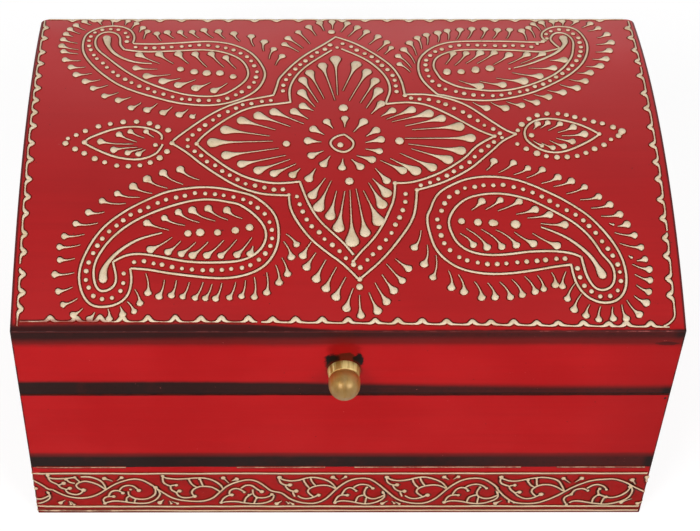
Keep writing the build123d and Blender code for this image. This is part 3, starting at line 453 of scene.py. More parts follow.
# ---------------------------------------------------------------- the vine round the body
# Its repeats, as (x, z) in millimetres from the tip of the upper leaf. A plain one is 35.6 long,
# and three on the front were drawn by hand in another way.
REPEAT = 35.6
VINE = {
    "plain": {
        "stem": (
            (0.8, 10.1), (2.7, 7.4), (5, 5.5), (7.7, 4.2), (10.8, 3.8), (13.1, 4.3), (15.4, 6.2),
            (17.3, 8.9), (18.9, 11.8), (21.2, 15.1), (23.5, 17.2), (26.2, 18.1), (28.9, 18.1),
            (30.8, 17), (33.5, 14.2), (35.2, 11.8),
        ),
        "strokes": (
            ((0, 18.7), (0.3, 17.8), (2.3, 16.7), (4.6, 16.5), (7, 17.2), (8.9, 18.2), (11.2, 18.7),
             (13.5, 18.2), (15.8, 16.9), (17.7, 15.1), (18.8, 12.8)),
            ((0, 18.7), (-0.2, 17), (0.6, 15.1), (2, 14.1), (3.3, 14.3)),
            ((2, 14), (2.2, 13.2), (2.9, 11.8), (4.4, 10.6), (5.6, 10.8)),
            ((4.5, 10.5), (4.7, 9.5), (5.2, 7.9)),
            ((6.2, 8.2), (7.3, 6.9), (9.3, 6.4), (11.2, 7.2), (13, 8.6)),
            ((11.4, 7.8), (10.8, 8.7), (9.6, 10.1), (9.6, 11.7), (10.9, 13.2), (13.1, 14.1), (15.8, 14.3),
             (17.7, 13.3), (18.8, 12.2)),
            ((7.9, 17.4), (8.3, 15.1), (9.9, 13)),
            ((10.3, 18.5), (10.6, 15.9), (12, 14.1)),
            ((18.8, 4.4), (19.8, 5.3), (22, 5.5), (24.6, 4.9), (27.3, 3.8), (30, 3.6), (32.7, 4.6),
             (34.9, 6.4), (35.6, 8.6), (34.5, 10.9)),
            ((18.7, 4.4), (19, 5.8), (19.6, 7.8), (21, 8.9), (22.6, 8.6)),
            ((21, 9), (21.4, 10.3), (22, 12), (23.3, 13), (24.8, 12.6), (25.7, 11.1)),
            ((24.8, 12.8), (25.2, 13.6), (26.6, 14.6), (28.5, 14.7), (30.3, 13.8), (31.2, 12.4)),
            ((29.1, 12.8), (28.4, 10.6), (28.6, 8.5), (29.7, 7.1), (31.6, 6.4), (33.5, 7), (35, 8.4)),
            ((28.5, 8.7), (26.9, 8.3), (26, 7), (25.8, 4.8)),
            ((29.3, 7.5), (29, 6.2), (29.1, 4.2)),
        ),
        "blobs": (
            (0, 18.5, 0.75), (3.4, 14.4, 0.75), (5.7, 10.9, 0.8), (13.1, 8.7, 0.8), (22.7, 8.6, 0.65),
            (25.7, 11.1, 0.55), (31.2, 12.4, 0.6), (18.7, 4.5, 0.65), (34.9, 10, 0.6), (29.2, 13, 0.5),
        ),
        "buds": (
            (19.3, 17, 17.8, 18.6, 0.75), (20.5, 17.3, 21.9, 18.8, 0.65), (0.9, 5.3, -0.8, 3.9, 0.75),
            (2.3, 5.2, 3, 4, 0.45), (3.2, 4.8, 4.5, 3.7, 0.5),
        ),
    },
    "first": {
        "stem": (
            (0.8, 11.9), (2.2, 10.4), (4.5, 8.5), (6.9, 7.4), (9.5, 7), (12.2, 7.6), (14.5, 9),
            (16.2, 10.5), (17.9, 12.4), (19.9, 14.4), (22.2, 16.2), (24.9, 17.4), (26.9, 17.7),
            (28.9, 17.2), (30.9, 15.5), (32.5, 13.4),
        ),
        "strokes": (
            ((0.1, 18.4), (1.5, 17.9), (3.4, 17.8), (5.5, 18.1), (8.2, 18.6)),
            ((10, 19), (11.9, 19.1), (14, 18.5), (15.7, 17.2), (16.7, 15.8), (17.2, 13.9), (17.5, 11.9)),
            ((-0.3, 20.2), (0.2, 17.4), (1, 15.9), (2.4, 15), (3, 14), (3.4, 13), (4.3, 12.3),
             (5, 11.9)),
            ((2.9, 14.3), (3.5, 14.6), (4.6, 15.5)),
            ((4.9, 11.7), (5.5, 12.2), (6.3, 12.7)),
            ((4.9, 11.9), (5.1, 10.5), (6.1, 9.5), (7.8, 8.9), (9.1, 9.3), (10, 10.4), (10.4, 11.7)),
            ((10.4, 11.5), (9, 12.2), (8.4, 13.4), (8.2, 14.2), (8.7, 15.4), (9.9, 16.2), (11.5, 16.5),
             (13.2, 16), (14.9, 14.9), (16.2, 13.4), (17.2, 11.9)),
            ((5.5, 17.7), (5.9, 16.5), (6.9, 15.5), (8, 15.4)),
            ((8.2, 18.5), (8.7, 17.5), (9.5, 16.2)),
            ((16.6, 4.3), (16.1, 5.7), (16.5, 7.1), (17.7, 8), (19.5, 8)),
            ((18.1, 8.4), (18.5, 10), (19.5, 11.1), (20.7, 11.4), (21.7, 11), (22.7, 9.9)),
            ((21.7, 11.5), (22.2, 13), (23.4, 14), (24.7, 14.3), (26, 13.7), (26.9, 12.5), (27.6, 11.3)),
            ((24.3, 10.8), (24.1, 9.7), (24.5, 8.4), (25.5, 7.2), (26.5, 6.6), (28.2, 6.4), (29.9, 6.5),
             (31.5, 7.7), (32.5, 9), (32.9, 10.4), (32.7, 12.7)),
            ((32.9, 13.4), (34.2, 10.4), (34, 8.7), (33.2, 6.7), (31.9, 5.2), (30.2, 4.2), (28.2, 4),
             (26.2, 4.2), (23.9, 4.7), (21.9, 5.2), (19.9, 5.5), (18.2, 5.2), (16.7, 4.2)),
            ((23.5, 5.2), (23.4, 6.7), (24, 7.9), (24.5, 8.2)),
            ((25.9, 4.7), (26, 5.7), (26.5, 6.7)),
        ),
        "blobs": (
            (-0.1, 19.8, 0.7), (5.5, 17.8, 0.65), (8.2, 18.6, 0.6), (4.6, 15.5, 0.7), (6.2, 12.7, 0.75),
            (10.4, 11.6, 0.8), (16.6, 4.3, 0.75), (19.5, 8, 0.6), (22.6, 10, 0.6), (27.6, 11.4, 0.8),
            (32.9, 13, 0.7), (23.5, 5.2, 0.5), (25, 12, 0.5),
        ),
        "buds": (
            (19.9, 16.5, 17.4, 18.1, 0.85), (21, 16.9, 22.5, 18.5, 0.7), (4.3, 6, 2.7, 4.6, 0.8),
            (5.5, 5.4, 5.9, 3.7, 0.5), (5.9, 5.1, 6.9, 3.4, 0.5),
        ),
    },
    "second": {
        "stem": (
            (-1.5, 11.5), (0.8, 8.7), (2.1, 7.4), (4.1, 6.2), (6.5, 5.5), (9.1, 5.1), (11.8, 5.2),
            (13.8, 6), (15.5, 7.5), (16.8, 9.4), (18, 11.2), (19.1, 13), (20.8, 14.9), (22.8, 16.2),
            (25.1, 17), (26.8, 17.2), (28.5, 16.7), (30.1, 15.2), (31.8, 13), (33.5, 10.7),
        ),
        "strokes": (
            ((-0.1, 19.2), (0.3, 18.4), (1.5, 17.9), (3.8, 17.5), (5.8, 17.7), (7.8, 18), (9.8, 18.3),
             (12.1, 18.3), (14.1, 17.9), (15.8, 16.7), (17.1, 15.2), (18, 13.7), (18.3, 12)),
            ((-0.1, 19.2), (-0.3, 17.4), (0.1, 15.5), (1.1, 14.4), (2.1, 13.9)),
            ((2, 13.7), (3, 14.3), (4, 14.4)),
            ((2.1, 13.9), (2.1, 12.2), (2.8, 11), (3.9, 10.2), (4.1, 8.7), (5.1, 7.6), (6.8, 7.1),
             (8.5, 7.5), (9.5, 8.1)),
            ((3.7, 10.1), (4.3, 10.8), (5, 11)),
            ((9.3, 8), (8.8, 9.2), (8.5, 10.5), (9, 11.9), (10.1, 12.9), (11.5, 13.5), (13.1, 13.7),
             (14.8, 13.2), (16.1, 12.2), (17.5, 10.5)),
            ((7.8, 17.7), (8.3, 15.9), (9.1, 14.2), (10.3, 13.2)),
            ((11.3, 17.9), (11.6, 15.9), (12.1, 13.9)),
            ((17.7, 4.5), (18.1, 6.2), (19.1, 7.8), (20.2, 8.7), (21.2, 8.8)),
            ((20.3, 9), (20.2, 10.5), (20.8, 11.9), (22.1, 12.4), (23.5, 12.2), (24.5, 11.2),
             (25, 10.4)),
            ((24, 12.5), (24.8, 13.7), (26.1, 14.4), (27.5, 14), (28.5, 12.7), (29.3, 11.5),
             (30.4, 10.7)),
            ((27.6, 11.7), (27.6, 10), (28, 8.4), (29, 7.3), (30.6, 7), (32.1, 7.5), (33.3, 8.5),
             (34, 9.4)),
            ((34.3, 8.7), (34.1, 6.7), (33.1, 5.2), (31.5, 4.2), (29.5, 3.8), (27.1, 3.9), (25.1, 4.3),
             (23.1, 4.9), (21.1, 5.2), (19.1, 5), (17.8, 4.4)),
            ((25, 4.4), (25, 6.2), (25.8, 7.9), (27.4, 9.5)),
            ((28, 4.1), (28.3, 5.7), (29, 7.2)),
        ),
        "blobs": (
            (-0.2, 19.4, 0.65), (4, 14.4, 0.7), (4.9, 11, 0.75), (9.5, 8.1, 0.75), (7.9, 17.6, 0.5),
            (11.3, 17.6, 0.5), (17.6, 4.4, 0.6), (21.1, 8.8, 0.7), (24.9, 10.4, 0.5),
            (30.3, 10.7, 0.75), (33.6, 9, 0.7), (26.5, 8.7, 0.55), (28.9, 7.2, 0.5),
        ),
        "buds": (
            (20.2, 15.4, 18.5, 18.2, 0.8), (21.1, 16.4, 22.7, 17.7, 0.8), (-0.2, 6, -1.5, 4.5, 0.8),
            (1.4, 5.5, 2.1, 4, 0.45), (2.1, 5.1, 4, 4.1, 0.5),
        ),
    },
    "last": {
        "stem": (
            (-1.8, 13.4), (0.2, 10), (1.5, 8), (3.2, 5.9), (4.9, 4.4), (6.9, 4), (9.2, 3.7), (11.5, 4),
            (13.5, 4.7), (15.9, 6.2), (17.9, 8), (19.5, 9.7), (21.2, 11.7), (22.9, 13.4), (24.9, 15),
            (27.2, 16.3), (29.2, 17), (31.5, 17.4), (34.2, 17.7), (36.2, 17), (38.2, 15.9),
            (39.9, 14.4), (41.5, 13),
        ),
        "strokes": (
            ((-0.1, 18), (1, 17.2), (2.5, 16.4), (4.5, 16.2), (6.5, 16.9), (8.5, 17.7), (10.5, 18.2),
             (12.9, 18.4), (15.2, 18), (16.9, 17.2), (18, 15.9), (18.9, 14), (19.5, 12.4), (20, 10.7)),
            ((-0.4, 18.7), (-0.5, 16.7), (-0.1, 15.2), (1.2, 14.2), (2.5, 13.7)),
            ((2.4, 13.5), (3.4, 14), (4.2, 14.2)),
            ((2.5, 13.7), (3, 11.9), (4.2, 10.5), (4.9, 9.7), (5.4, 8.4), (6.9, 7.2), (8.5, 6.4),
             (10.2, 6.7), (11.5, 7.7), (13, 9)),
            ((4.8, 9.8), (5.4, 10.2), (6.1, 10.5)),
            ((11.5, 7.8), (10.2, 9.4), (9.7, 10.9), (10.2, 12.5), (11.5, 13.9), (13.2, 14.5),
             (15.2, 14.4), (16.9, 13.5), (18.2, 12.4), (19.7, 10.7)),
            ((7.9, 16.9), (8.5, 15.2), (9.7, 13.5), (10.4, 13)),
            ((10.7, 18), (10.9, 16), (11.2, 14.2)),
            ((3.2, 5.7), (3.4, 4.3)),
            ((21.5, 3.2), (20.7, 4.7), (20.2, 6.4), (20.9, 8), (22.5, 9)),
            ((22.4, 4.2), (23, 5.1), (24.5, 5.2), (26.5, 4.9), (28.9, 4.2), (30.9, 3.7), (32.9, 3.3),
             (34.9, 3.5), (36.9, 4.2), (38.9, 5.4), (40.4, 7), (41, 8.7), (41.2, 10.4), (40.9, 12.7),
             (39.7, 14.6)),
            ((22.5, 9.2), (22.9, 10.9), (23.9, 11.9), (25.2, 12.2), (26.5, 11.9), (27.4, 11)),
            ((27, 12.4), (27.9, 13.7), (29.2, 14.4), (30.7, 14.4), (32, 13.5), (32.9, 12.2),
             (33.1, 11.4)),
            ((31, 12.5), (30.4, 11.2), (30.7, 9.7), (31.2, 8.7), (33.5, 7.4), (35.2, 7), (37.2, 7.7),
             (38.7, 9), (39.9, 10.7), (40.4, 12.4)),
            ((29.5, 4.4), (29.4, 6), (29.9, 7.7), (30.9, 8.7)),
            ((32.5, 3.9), (32.5, 5.7), (33, 7.3)),
        ),
        "blobs": (
            (-0.3, 18.6, 0.75), (4.2, 14.2, 0.7), (6, 10.4, 0.7), (13, 9, 0.75), (8, 16.9, 0.5),
            (10.8, 17.8, 0.5), (21.6, 3.2, 0.55), (22.5, 9, 0.65), (27.4, 11, 0.5), (33, 11.5, 0.5),
            (31, 12, 0.65), (33.5, 7.5, 0.65), (40.3, 13.2, 0.8), (31, 8.7, 0.5), (4.9, 4.3, 0.5),
        ),
        "buds": (
            (21.3, 15.3, 19.1, 17.8, 0.8), (22.7, 15.6, 24.5, 17.8, 0.75), (1, 5.4, -0.9, 4, 0.8),
            (41.6, 6.4, 38.7, 4.6, 0.8), (41.7, 14.4, 40.3, 17, 0.8),
        ),
    },
}
# Leaf tips on the front, left to right; the other three sides repeat evenly between the last and the first
VINE_TIPS = (-90.2, -54.8, -18.9, 14.2, 49.8, 94.5)
VINE_FRONT = ("first", "second", "plain", "plain", "last")
# The vine's own zero stands this far above the foot of the box
VINE_FOOT = 1.65
# Height above the foot and half thickness of the straight lines above and below the vine
VINE_LINES = ((22.3, 0.35), (3.95, 0.39), (1.55, 0.34))
# A hair line left of the border between band and vine: height, half thickness and where it still shows
BAND_LINE_HEIGHT = 25.65
BAND_LINE_HALF = 0.2
BAND_LINE_RUNS = ((-95, -66), (-32, -5), (4, 55), (66, 93))


def shade(red, green, blue):
    """A colour given as it looks on a screen, in 0 to 255, as Blender's linear numbers."""
    parts = [value / 255 for value in (red, green, blue)]
    return tuple(p / 12.92 if p <= 0.04045 else ((p + 0.055) / 1.055) ** 2.4 for p in parts)


def colour_property(name, description, default):
    """A colour swatch in the panel."""
    return FloatVectorProperty(
        name=name, description=description, subtype="COLOR", size=3, min=0, max=1, default=default
    )


def length_property(name, description, default):
    """A length in the panel, given here in millimetres."""
    return FloatProperty(name=name, description=description, unit="LENGTH", default=default * MM)


class BoxColours(PropertyGroup):
    """The paints and stains on the box."""

    red: colour_property("Red", "Satin red paint on the outside", shade(180, 15, 19))
    deep_red: colour_property("Deep red", "Red where the paint lies thicker", shade(160, 9, 13))
    band: colour_property("Band", "Dark antique wax in the bands", shade(32, 12, 9))
    band_red: colour_property("Thin band", "The same wax where it thins out over red", shade(76, 16, 14))
    # also the colour of the painted shadow beside the raised paint
    grime_and_shadow: colour_property("Grime", "Old wax left beside the raised lines", shade(62, 22, 8))
    cream: colour_property("Cream", "Raised paint", shade(236, 216, 186))
    cream_dark: colour_property("Cream shade", "Raised paint where it has yellowed", shade(216, 190, 152))
    wood_light: colour_property("Light wood", "Bare wood inside", shade(206, 170, 124))
    wood_dark: colour_property("Dark wood", "Grain lines of the bare wood", shade(158, 112, 70))


class ReliefSizes(PropertyGroup):
    """How the raised paint is squeezed on."""

    line: length_property("Line", "Width of an outline", 0.7)
    tail: length_property("Tail", "Width of a drop's tail", 0.36)
    vine_line: length_property("Vine line", "Width of the vine's stem and leaves", 0.62)
    bead: length_property("Bead", "Width of a dot between two outlines", 1.42)
    bead_step: length_property("Bead step", "Distance from one dot to the next", 2.85)
    build_up: length_property("Build-up", "Height that the thickest paint comes near to", 0.75)
    # the dark rim's reach: partly old wax and partly painted shadow
    wax: length_property("Wax", "How far old wax reaches out from the paint", 0.3)
    unevenness: FloatProperty(
        name="Unevenness", description="How much a line's width wavers", subtype="FACTOR", min=0, max=1,
        default=0.09,
    )
    seed: IntProperty(name="Hand", description="Another number draws another hand's wavering", default=7)


# ---------------------------------------------------------------- shader helpers


class Recipe:
    """Lays nodes into a material or a node group, one short call for each."""

    def __init__(self, tree):
        self.tree = tree

    def node(self, kind, **settings):
        made = self.tree.nodes.new(kind)
        for name, value in settings.items():
            setattr(made, name, value)
        return made

    def feed(self, socket, value):
        """Links a socket, or sets a plain value, or leaves the socket as it is for None."""
        if isinstance(value, bpy.types.NodeSocket):
            self.tree.links.new(value, socket)
        elif value is not None and socket.type == "RGBA":
            socket.default_value = (*value[:3], 1)
        elif value is not None:
            socket.default_value = value

    def math(self, operation, *values, clamp=False):
        made = self.node("ShaderNodeMath", operation=operation, use_clamp=clamp)
        for socket, value in zip(made.inputs, values):
            self.feed(socket, value)
        return made.outputs[0]

    def mix(self, share, first, second, blend_type="MIX"):
        """Colour first, with share of colour second laid over it."""
        made = self.node("ShaderNodeMix", data_type="RGBA", blend_type=blend_type)
        self.feed(made.inputs[0], share)
        self.feed(made.inputs[6], first)
        self.feed(made.inputs[7], second)
        return made.outputs[2]

    def lay(self, mask, under, over, strength):
        """Colour over on top of colour under where the mask is, at a strength."""
        return self.mix(self.math("MULTIPLY", mask, strength), under, over)

    def ramp(self, value, low, high, bottom=0, top=1):
        """Rises smoothly from bottom to top as value goes from low to high."""
        made = self.node("ShaderNodeMapRange", interpolation_type="SMOOTHSTEP")
        for socket, number in zip(made.inputs, (value, low, high, bottom, top)):
            self.feed(socket, number)
        return made.outputs[0]

    def place(self, stretch=(1, 1, 1), shift=(0, 0, 0)):
        """The point on the piece, in millimetres, stretched for patterns that run one way."""
        where = self.node("ShaderNodeTexCoord").outputs["Object"]
        made = self.node("ShaderNodeMapping")
        self.feed(made.inputs["Vector"], where)
        made.inputs["Scale"].default_value = [value / MM for value in stretch]
        made.inputs["Location"].default_value = shift
        return made.outputs[0]

    def noise(self, size, detail=3, roughness=0.5, stretch=(1, 1, 1), shift=(0, 0, 0), warp=0):
        """Cloudy pattern with features about size millimetres across."""
        made = self.node("ShaderNodeTexNoise")
        self.feed(made.inputs["Vector"], self.place(stretch, shift))
        self.feed(made.inputs["Scale"], 1 / size)
        self.feed(made.inputs["Detail"], detail)
        self.feed(made.inputs["Roughness"], roughness)
        self.feed(made.inputs["Distortion"], warp)
        return made.outputs[0]

    def use(self, name, **values):
        """Places a node group with its own values and returns its outputs."""
        made = self.node("ShaderNodeGroup", node_tree=bpy.data.node_groups[name])
        for label, value in values.items():
            self.feed(made.inputs[label.replace("_", " ")], value)
        return made.outputs


def new_group(name, inputs, outputs):
    """An empty node group with named sockets. Returns its recipe, its inputs and its output node."""
    tree = bpy.data.node_groups.new(name, "ShaderNodeTree")
    for label, value in inputs.items():
        kind = "NodeSocketColor" if isinstance(value, tuple) else "NodeSocketFloat"
        socket = tree.interface.new_socket(label, in_out="INPUT", socket_type=kind)
        socket.default_value = (*value, 1) if isinstance(value, tuple) else value
    for label, kind in outputs.items():
        tree.interface.new_socket(label, in_out="OUTPUT", socket_type=kind)
    recipe = Recipe(tree)
    return recipe, recipe.node("NodeGroupInput").outputs, recipe.node("NodeGroupOutput").inputs


def new_material(name):
    """A material with only its surface shader left. Returns it, its recipe and the shader's inputs."""
    material = bpy.data.materials.new(name)
    material.use_nodes = True
    recipe = Recipe(material.node_tree)
    shader = next(n for n in material.node_tree.nodes if n.type == "BSDF_PRINCIPLED")
    return material, recipe, shader.inputs


def bump(recipe, height, distance, strength=1.0):
    """A normal from a height between 0 and 1 that stands for distance millimetres."""
    made = recipe.node("ShaderNodeBump")
    recipe.feed(made.inputs["Height"], height)
    made.inputs["Distance"].default_value = distance * MM
    made.inputs["Strength"].default_value = strength
    return made.outputs[0]


def build_paint_skin():
    """Where the outside paint lies: on the outer faces and a ragged step in over every rim."""
    recipe, given, out = new_group(
        "Paint skin", {"Skin": 1.2, "Raggedness": 1.6}, {"Mask": "NodeSocketFloat", "Below top": "NodeSocketFloat"}
    )
    where = recipe.node("ShaderNodeSeparateXYZ")
    recipe.feed(where.inputs[0], recipe.place())
    x, y, z = where.outputs
    from_centre = recipe.math("SUBTRACT", z, BOW_CENTRE)
    reach = recipe.math("SQRT", recipe.math("ADD", recipe.math("MULTIPLY", y, y),
                                            recipe.math("MULTIPLY", from_centre, from_centre)))
    below_top = recipe.math("SUBTRACT", BOW_RADIUS, reach)
    side = recipe.math("SUBTRACT", HALF_WIDTH, recipe.math("ABSOLUTE", x))
    face = recipe.math("SUBTRACT", HALF_DEPTH, recipe.math("ABSOLUTE", y))
    inward = recipe.math("MINIMUM", recipe.math("MINIMUM", side, face), below_top)
    ragged = recipe.math("MULTIPLY", recipe.math("SUBTRACT", recipe.noise(3.2, 4), 0.5), given["Raggedness"])
    edge = recipe.math("ADD", given["Skin"], ragged)
    recipe.feed(out["Mask"], recipe.ramp(recipe.math("SUBTRACT", edge, inward), -0.08, 0.08))
    recipe.feed(out["Below top"], below_top)


def build_band():
    """A dark band between two levels, soft or sharp at either edge, that wanders a little."""
    recipe, given, out = new_group(
        "Ragged band",
        {"Level": 0.0, "Low": 0.0, "High": 1.0, "Low soft": 0.2, "High soft": 0.5, "Wander": 0.6},
        {"Mask": "NodeSocketFloat"},
    )
    slow = recipe.math("SUBTRACT", recipe.noise(26, 2, stretch=(1, 1, 0.15)), 0.5)
    quick = recipe.math("SUBTRACT", recipe.noise(2.4, 4, 0.65), 0.5)
    wander = recipe.math("MULTIPLY", recipe.math("ADD", slow, recipe.math("MULTIPLY", quick, 0.45)), given["Wander"])
    level = recipe.math("ADD", given["Level"], wander)
    rise = recipe.ramp(level, recipe.math("SUBTRACT", given["Low"], given["Low soft"]),
                       recipe.math("ADD", given["Low"], given["Low soft"]))
    fall = recipe.ramp(level, recipe.math("SUBTRACT", given["High"], given["High soft"]),
                       recipe.math("ADD", given["High"], given["High soft"]), 1, 0)
    recipe.feed(out["Mask"], recipe.math("MULTIPLY", rise, fall))


def build_brushed_paint():
    """Satin paint laid with a brush along the board: cloudy colour, faint streaks, small pits."""
    recipe, given, out = new_group(
        "Brushed paint",
        {"Paint": (0.4, 0.02, 0.02), "Deep": (0.3, 0.01, 0.01), "Streaks": 0.5},
        {"Color": "NodeSocketColor", "Roughness": "NodeSocketFloat", "Height": "NodeSocketFloat"},
    )
    clouds = recipe.noise(34, 3, 0.55)
    streaks = recipe.noise(2.6, 4, 0.6, stretch=(0.045, 1, 1))
    fine = recipe.noise(0.55, 3, 0.6, stretch=(0.12, 1, 1))
    amount = recipe.ramp(recipe.math("ADD", recipe.math("MULTIPLY", clouds, 0.6), recipe.math("MULTIPLY", streaks, 0.4)),
                         0.36, 0.66)
    laid = recipe.mix(recipe.math("MULTIPLY", amount, given["Streaks"]), given["Paint"], given["Deep"])
    pits = recipe.ramp(recipe.noise(1.5, 2, 0.7, shift=(3, 7, 1)), 0.72, 0.8)
    recipe.feed(out["Color"], recipe.mix(recipe.math("MULTIPLY", pits, 0.35), laid, given["Deep"]))
    recipe.feed(out["Roughness"], recipe.ramp(clouds, 0.3, 0.7, 0.40, 0.54))
    recipe.feed(out["Height"], recipe.math("ADD", recipe.math("MULTIPLY", streaks, 0.6),
                                           recipe.math("MULTIPLY", fine, 0.4)))


def build_wood_grain():
    """Plain sawn hardwood: broad figure, dark pores along the grain and saw marks."""
    recipe, given, out = new_group(
        "Wood grain",
        {"Light": (0.6, 0.4, 0.2), "Dark": (0.3, 0.16, 0.06), "Crosswise": 0.0},
        {"Color": "NodeSocketColor", "Height": "NodeSocketFloat"},
    )
    figures = []
    for along_x in (True, False):
        stretch = (0.08, 1, 1) if along_x else (1, 0.08, 1)
        figure = recipe.noise(7, 4, 0.6, stretch=stretch, warp=0.6)
        pores = recipe.noise(0.8, 2, 0.7, stretch=(0.06, 1, 1) if along_x else (1, 0.06, 1))
        figures.append(recipe.math("ADD", recipe.math("MULTIPLY", figure, 0.7), recipe.math("MULTIPLY", pores, 0.45)))
    chosen = recipe.math("ADD", recipe.math("MULTIPLY", figures[1], given["Crosswise"]),
                         recipe.math("MULTIPLY", figures[0], recipe.math("SUBTRACT", 1, given["Crosswise"])))
    share = recipe.ramp(chosen, 0.42, 0.74)
    recipe.feed(out["Color"], recipe.mix(share, given["Light"], given["Dark"]))
    recipe.feed(out["Height"], chosen)


def build_metal_wear():
    """Handled metal: brushed shine, dull clouds and dark specks of tarnish."""
    recipe, given, out = new_group(
        "Metal wear",
        {"Metal": (0.7, 0.5, 0.2), "Tarnish": (0.2, 0.1, 0.03), "Wear": 0.5, "Low gloss": 0.2, "High gloss": 0.4},
        {"Color": "NodeSocketColor", "Roughness": "NodeSocketFloat", "Height": "NodeSocketFloat"},
    )
    clouds = recipe.noise(2.6, 4, 0.6, warp=0.4)
    specks = recipe.ramp(recipe.noise(0.45, 2, 0.7, shift=(5, 2, 9)), 0.66, 0.76)
    dull = recipe.math("MULTIPLY", recipe.ramp(clouds, 0.4, 0.75), given["Wear"])
    toned = recipe.mix(dull, given["Metal"], given["Tarnish"])
    recipe.feed(out["Color"], recipe.mix(recipe.math("MULTIPLY", specks, recipe.math("MULTIPLY", given["Wear"], 0.7)),
                                         toned, given["Tarnish"]))
    spread = recipe.math("SUBTRACT", given["High gloss"], given["Low gloss"])
    recipe.feed(out["Roughness"], recipe.math("ADD", given["Low gloss"], recipe.math("MULTIPLY", clouds, spread)))
    recipe.feed(out["Height"], recipe.math("ADD", clouds, recipe.math("MULTIPLY", recipe.noise(0.3, 2), 0.3)))


def build_groups():
    """All shared effects, once."""
    for build in (build_paint_skin, build_band, build_brushed_paint, build_wood_grain, build_metal_wear):
        build()


# ---------------------------------------------------------------- materials


def spot(recipe, x, z, middle_x, middle_z, half_width, half_height, ragged=0.5):
    """A ragged oval on the front: 1 inside it and 0 outside."""
    across = recipe.math("DIVIDE", recipe.math("SUBTRACT", x, middle_x), half_width)
    up = recipe.math("DIVIDE", recipe.math("SUBTRACT", z, middle_z), half_height)
    far = recipe.math("SQRT", recipe.math("ADD", recipe.math("MULTIPLY", across, across),
                                          recipe.math("MULTIPLY", up, up)))
    rough = recipe.math("MULTIPLY", recipe.math("SUBTRACT", recipe.noise(1.6, 4, 0.65), 0.5), 2 * ragged)
    return recipe.ramp(recipe.math("ADD", far, rough), 0.75, 1.15, 1, 0)


# Where the bands end on the outside, in millimetres above the foot
SEAM_BAND_TOP = 69.5
FOOT_BAND_LOW = 25.8
FOOT_BAND_HIGH = 32.5
NAIL_X, NAIL_Z = 93.8, 61.2
# How far from a raised line the painted shade and wax reach, in millimetres
SHADE_AND_WAX_REACH = 1.3
# The sides are dull, and the lid's top was polished
SIDE_SHINE = 0.07
TOP_POLISH = 0.8


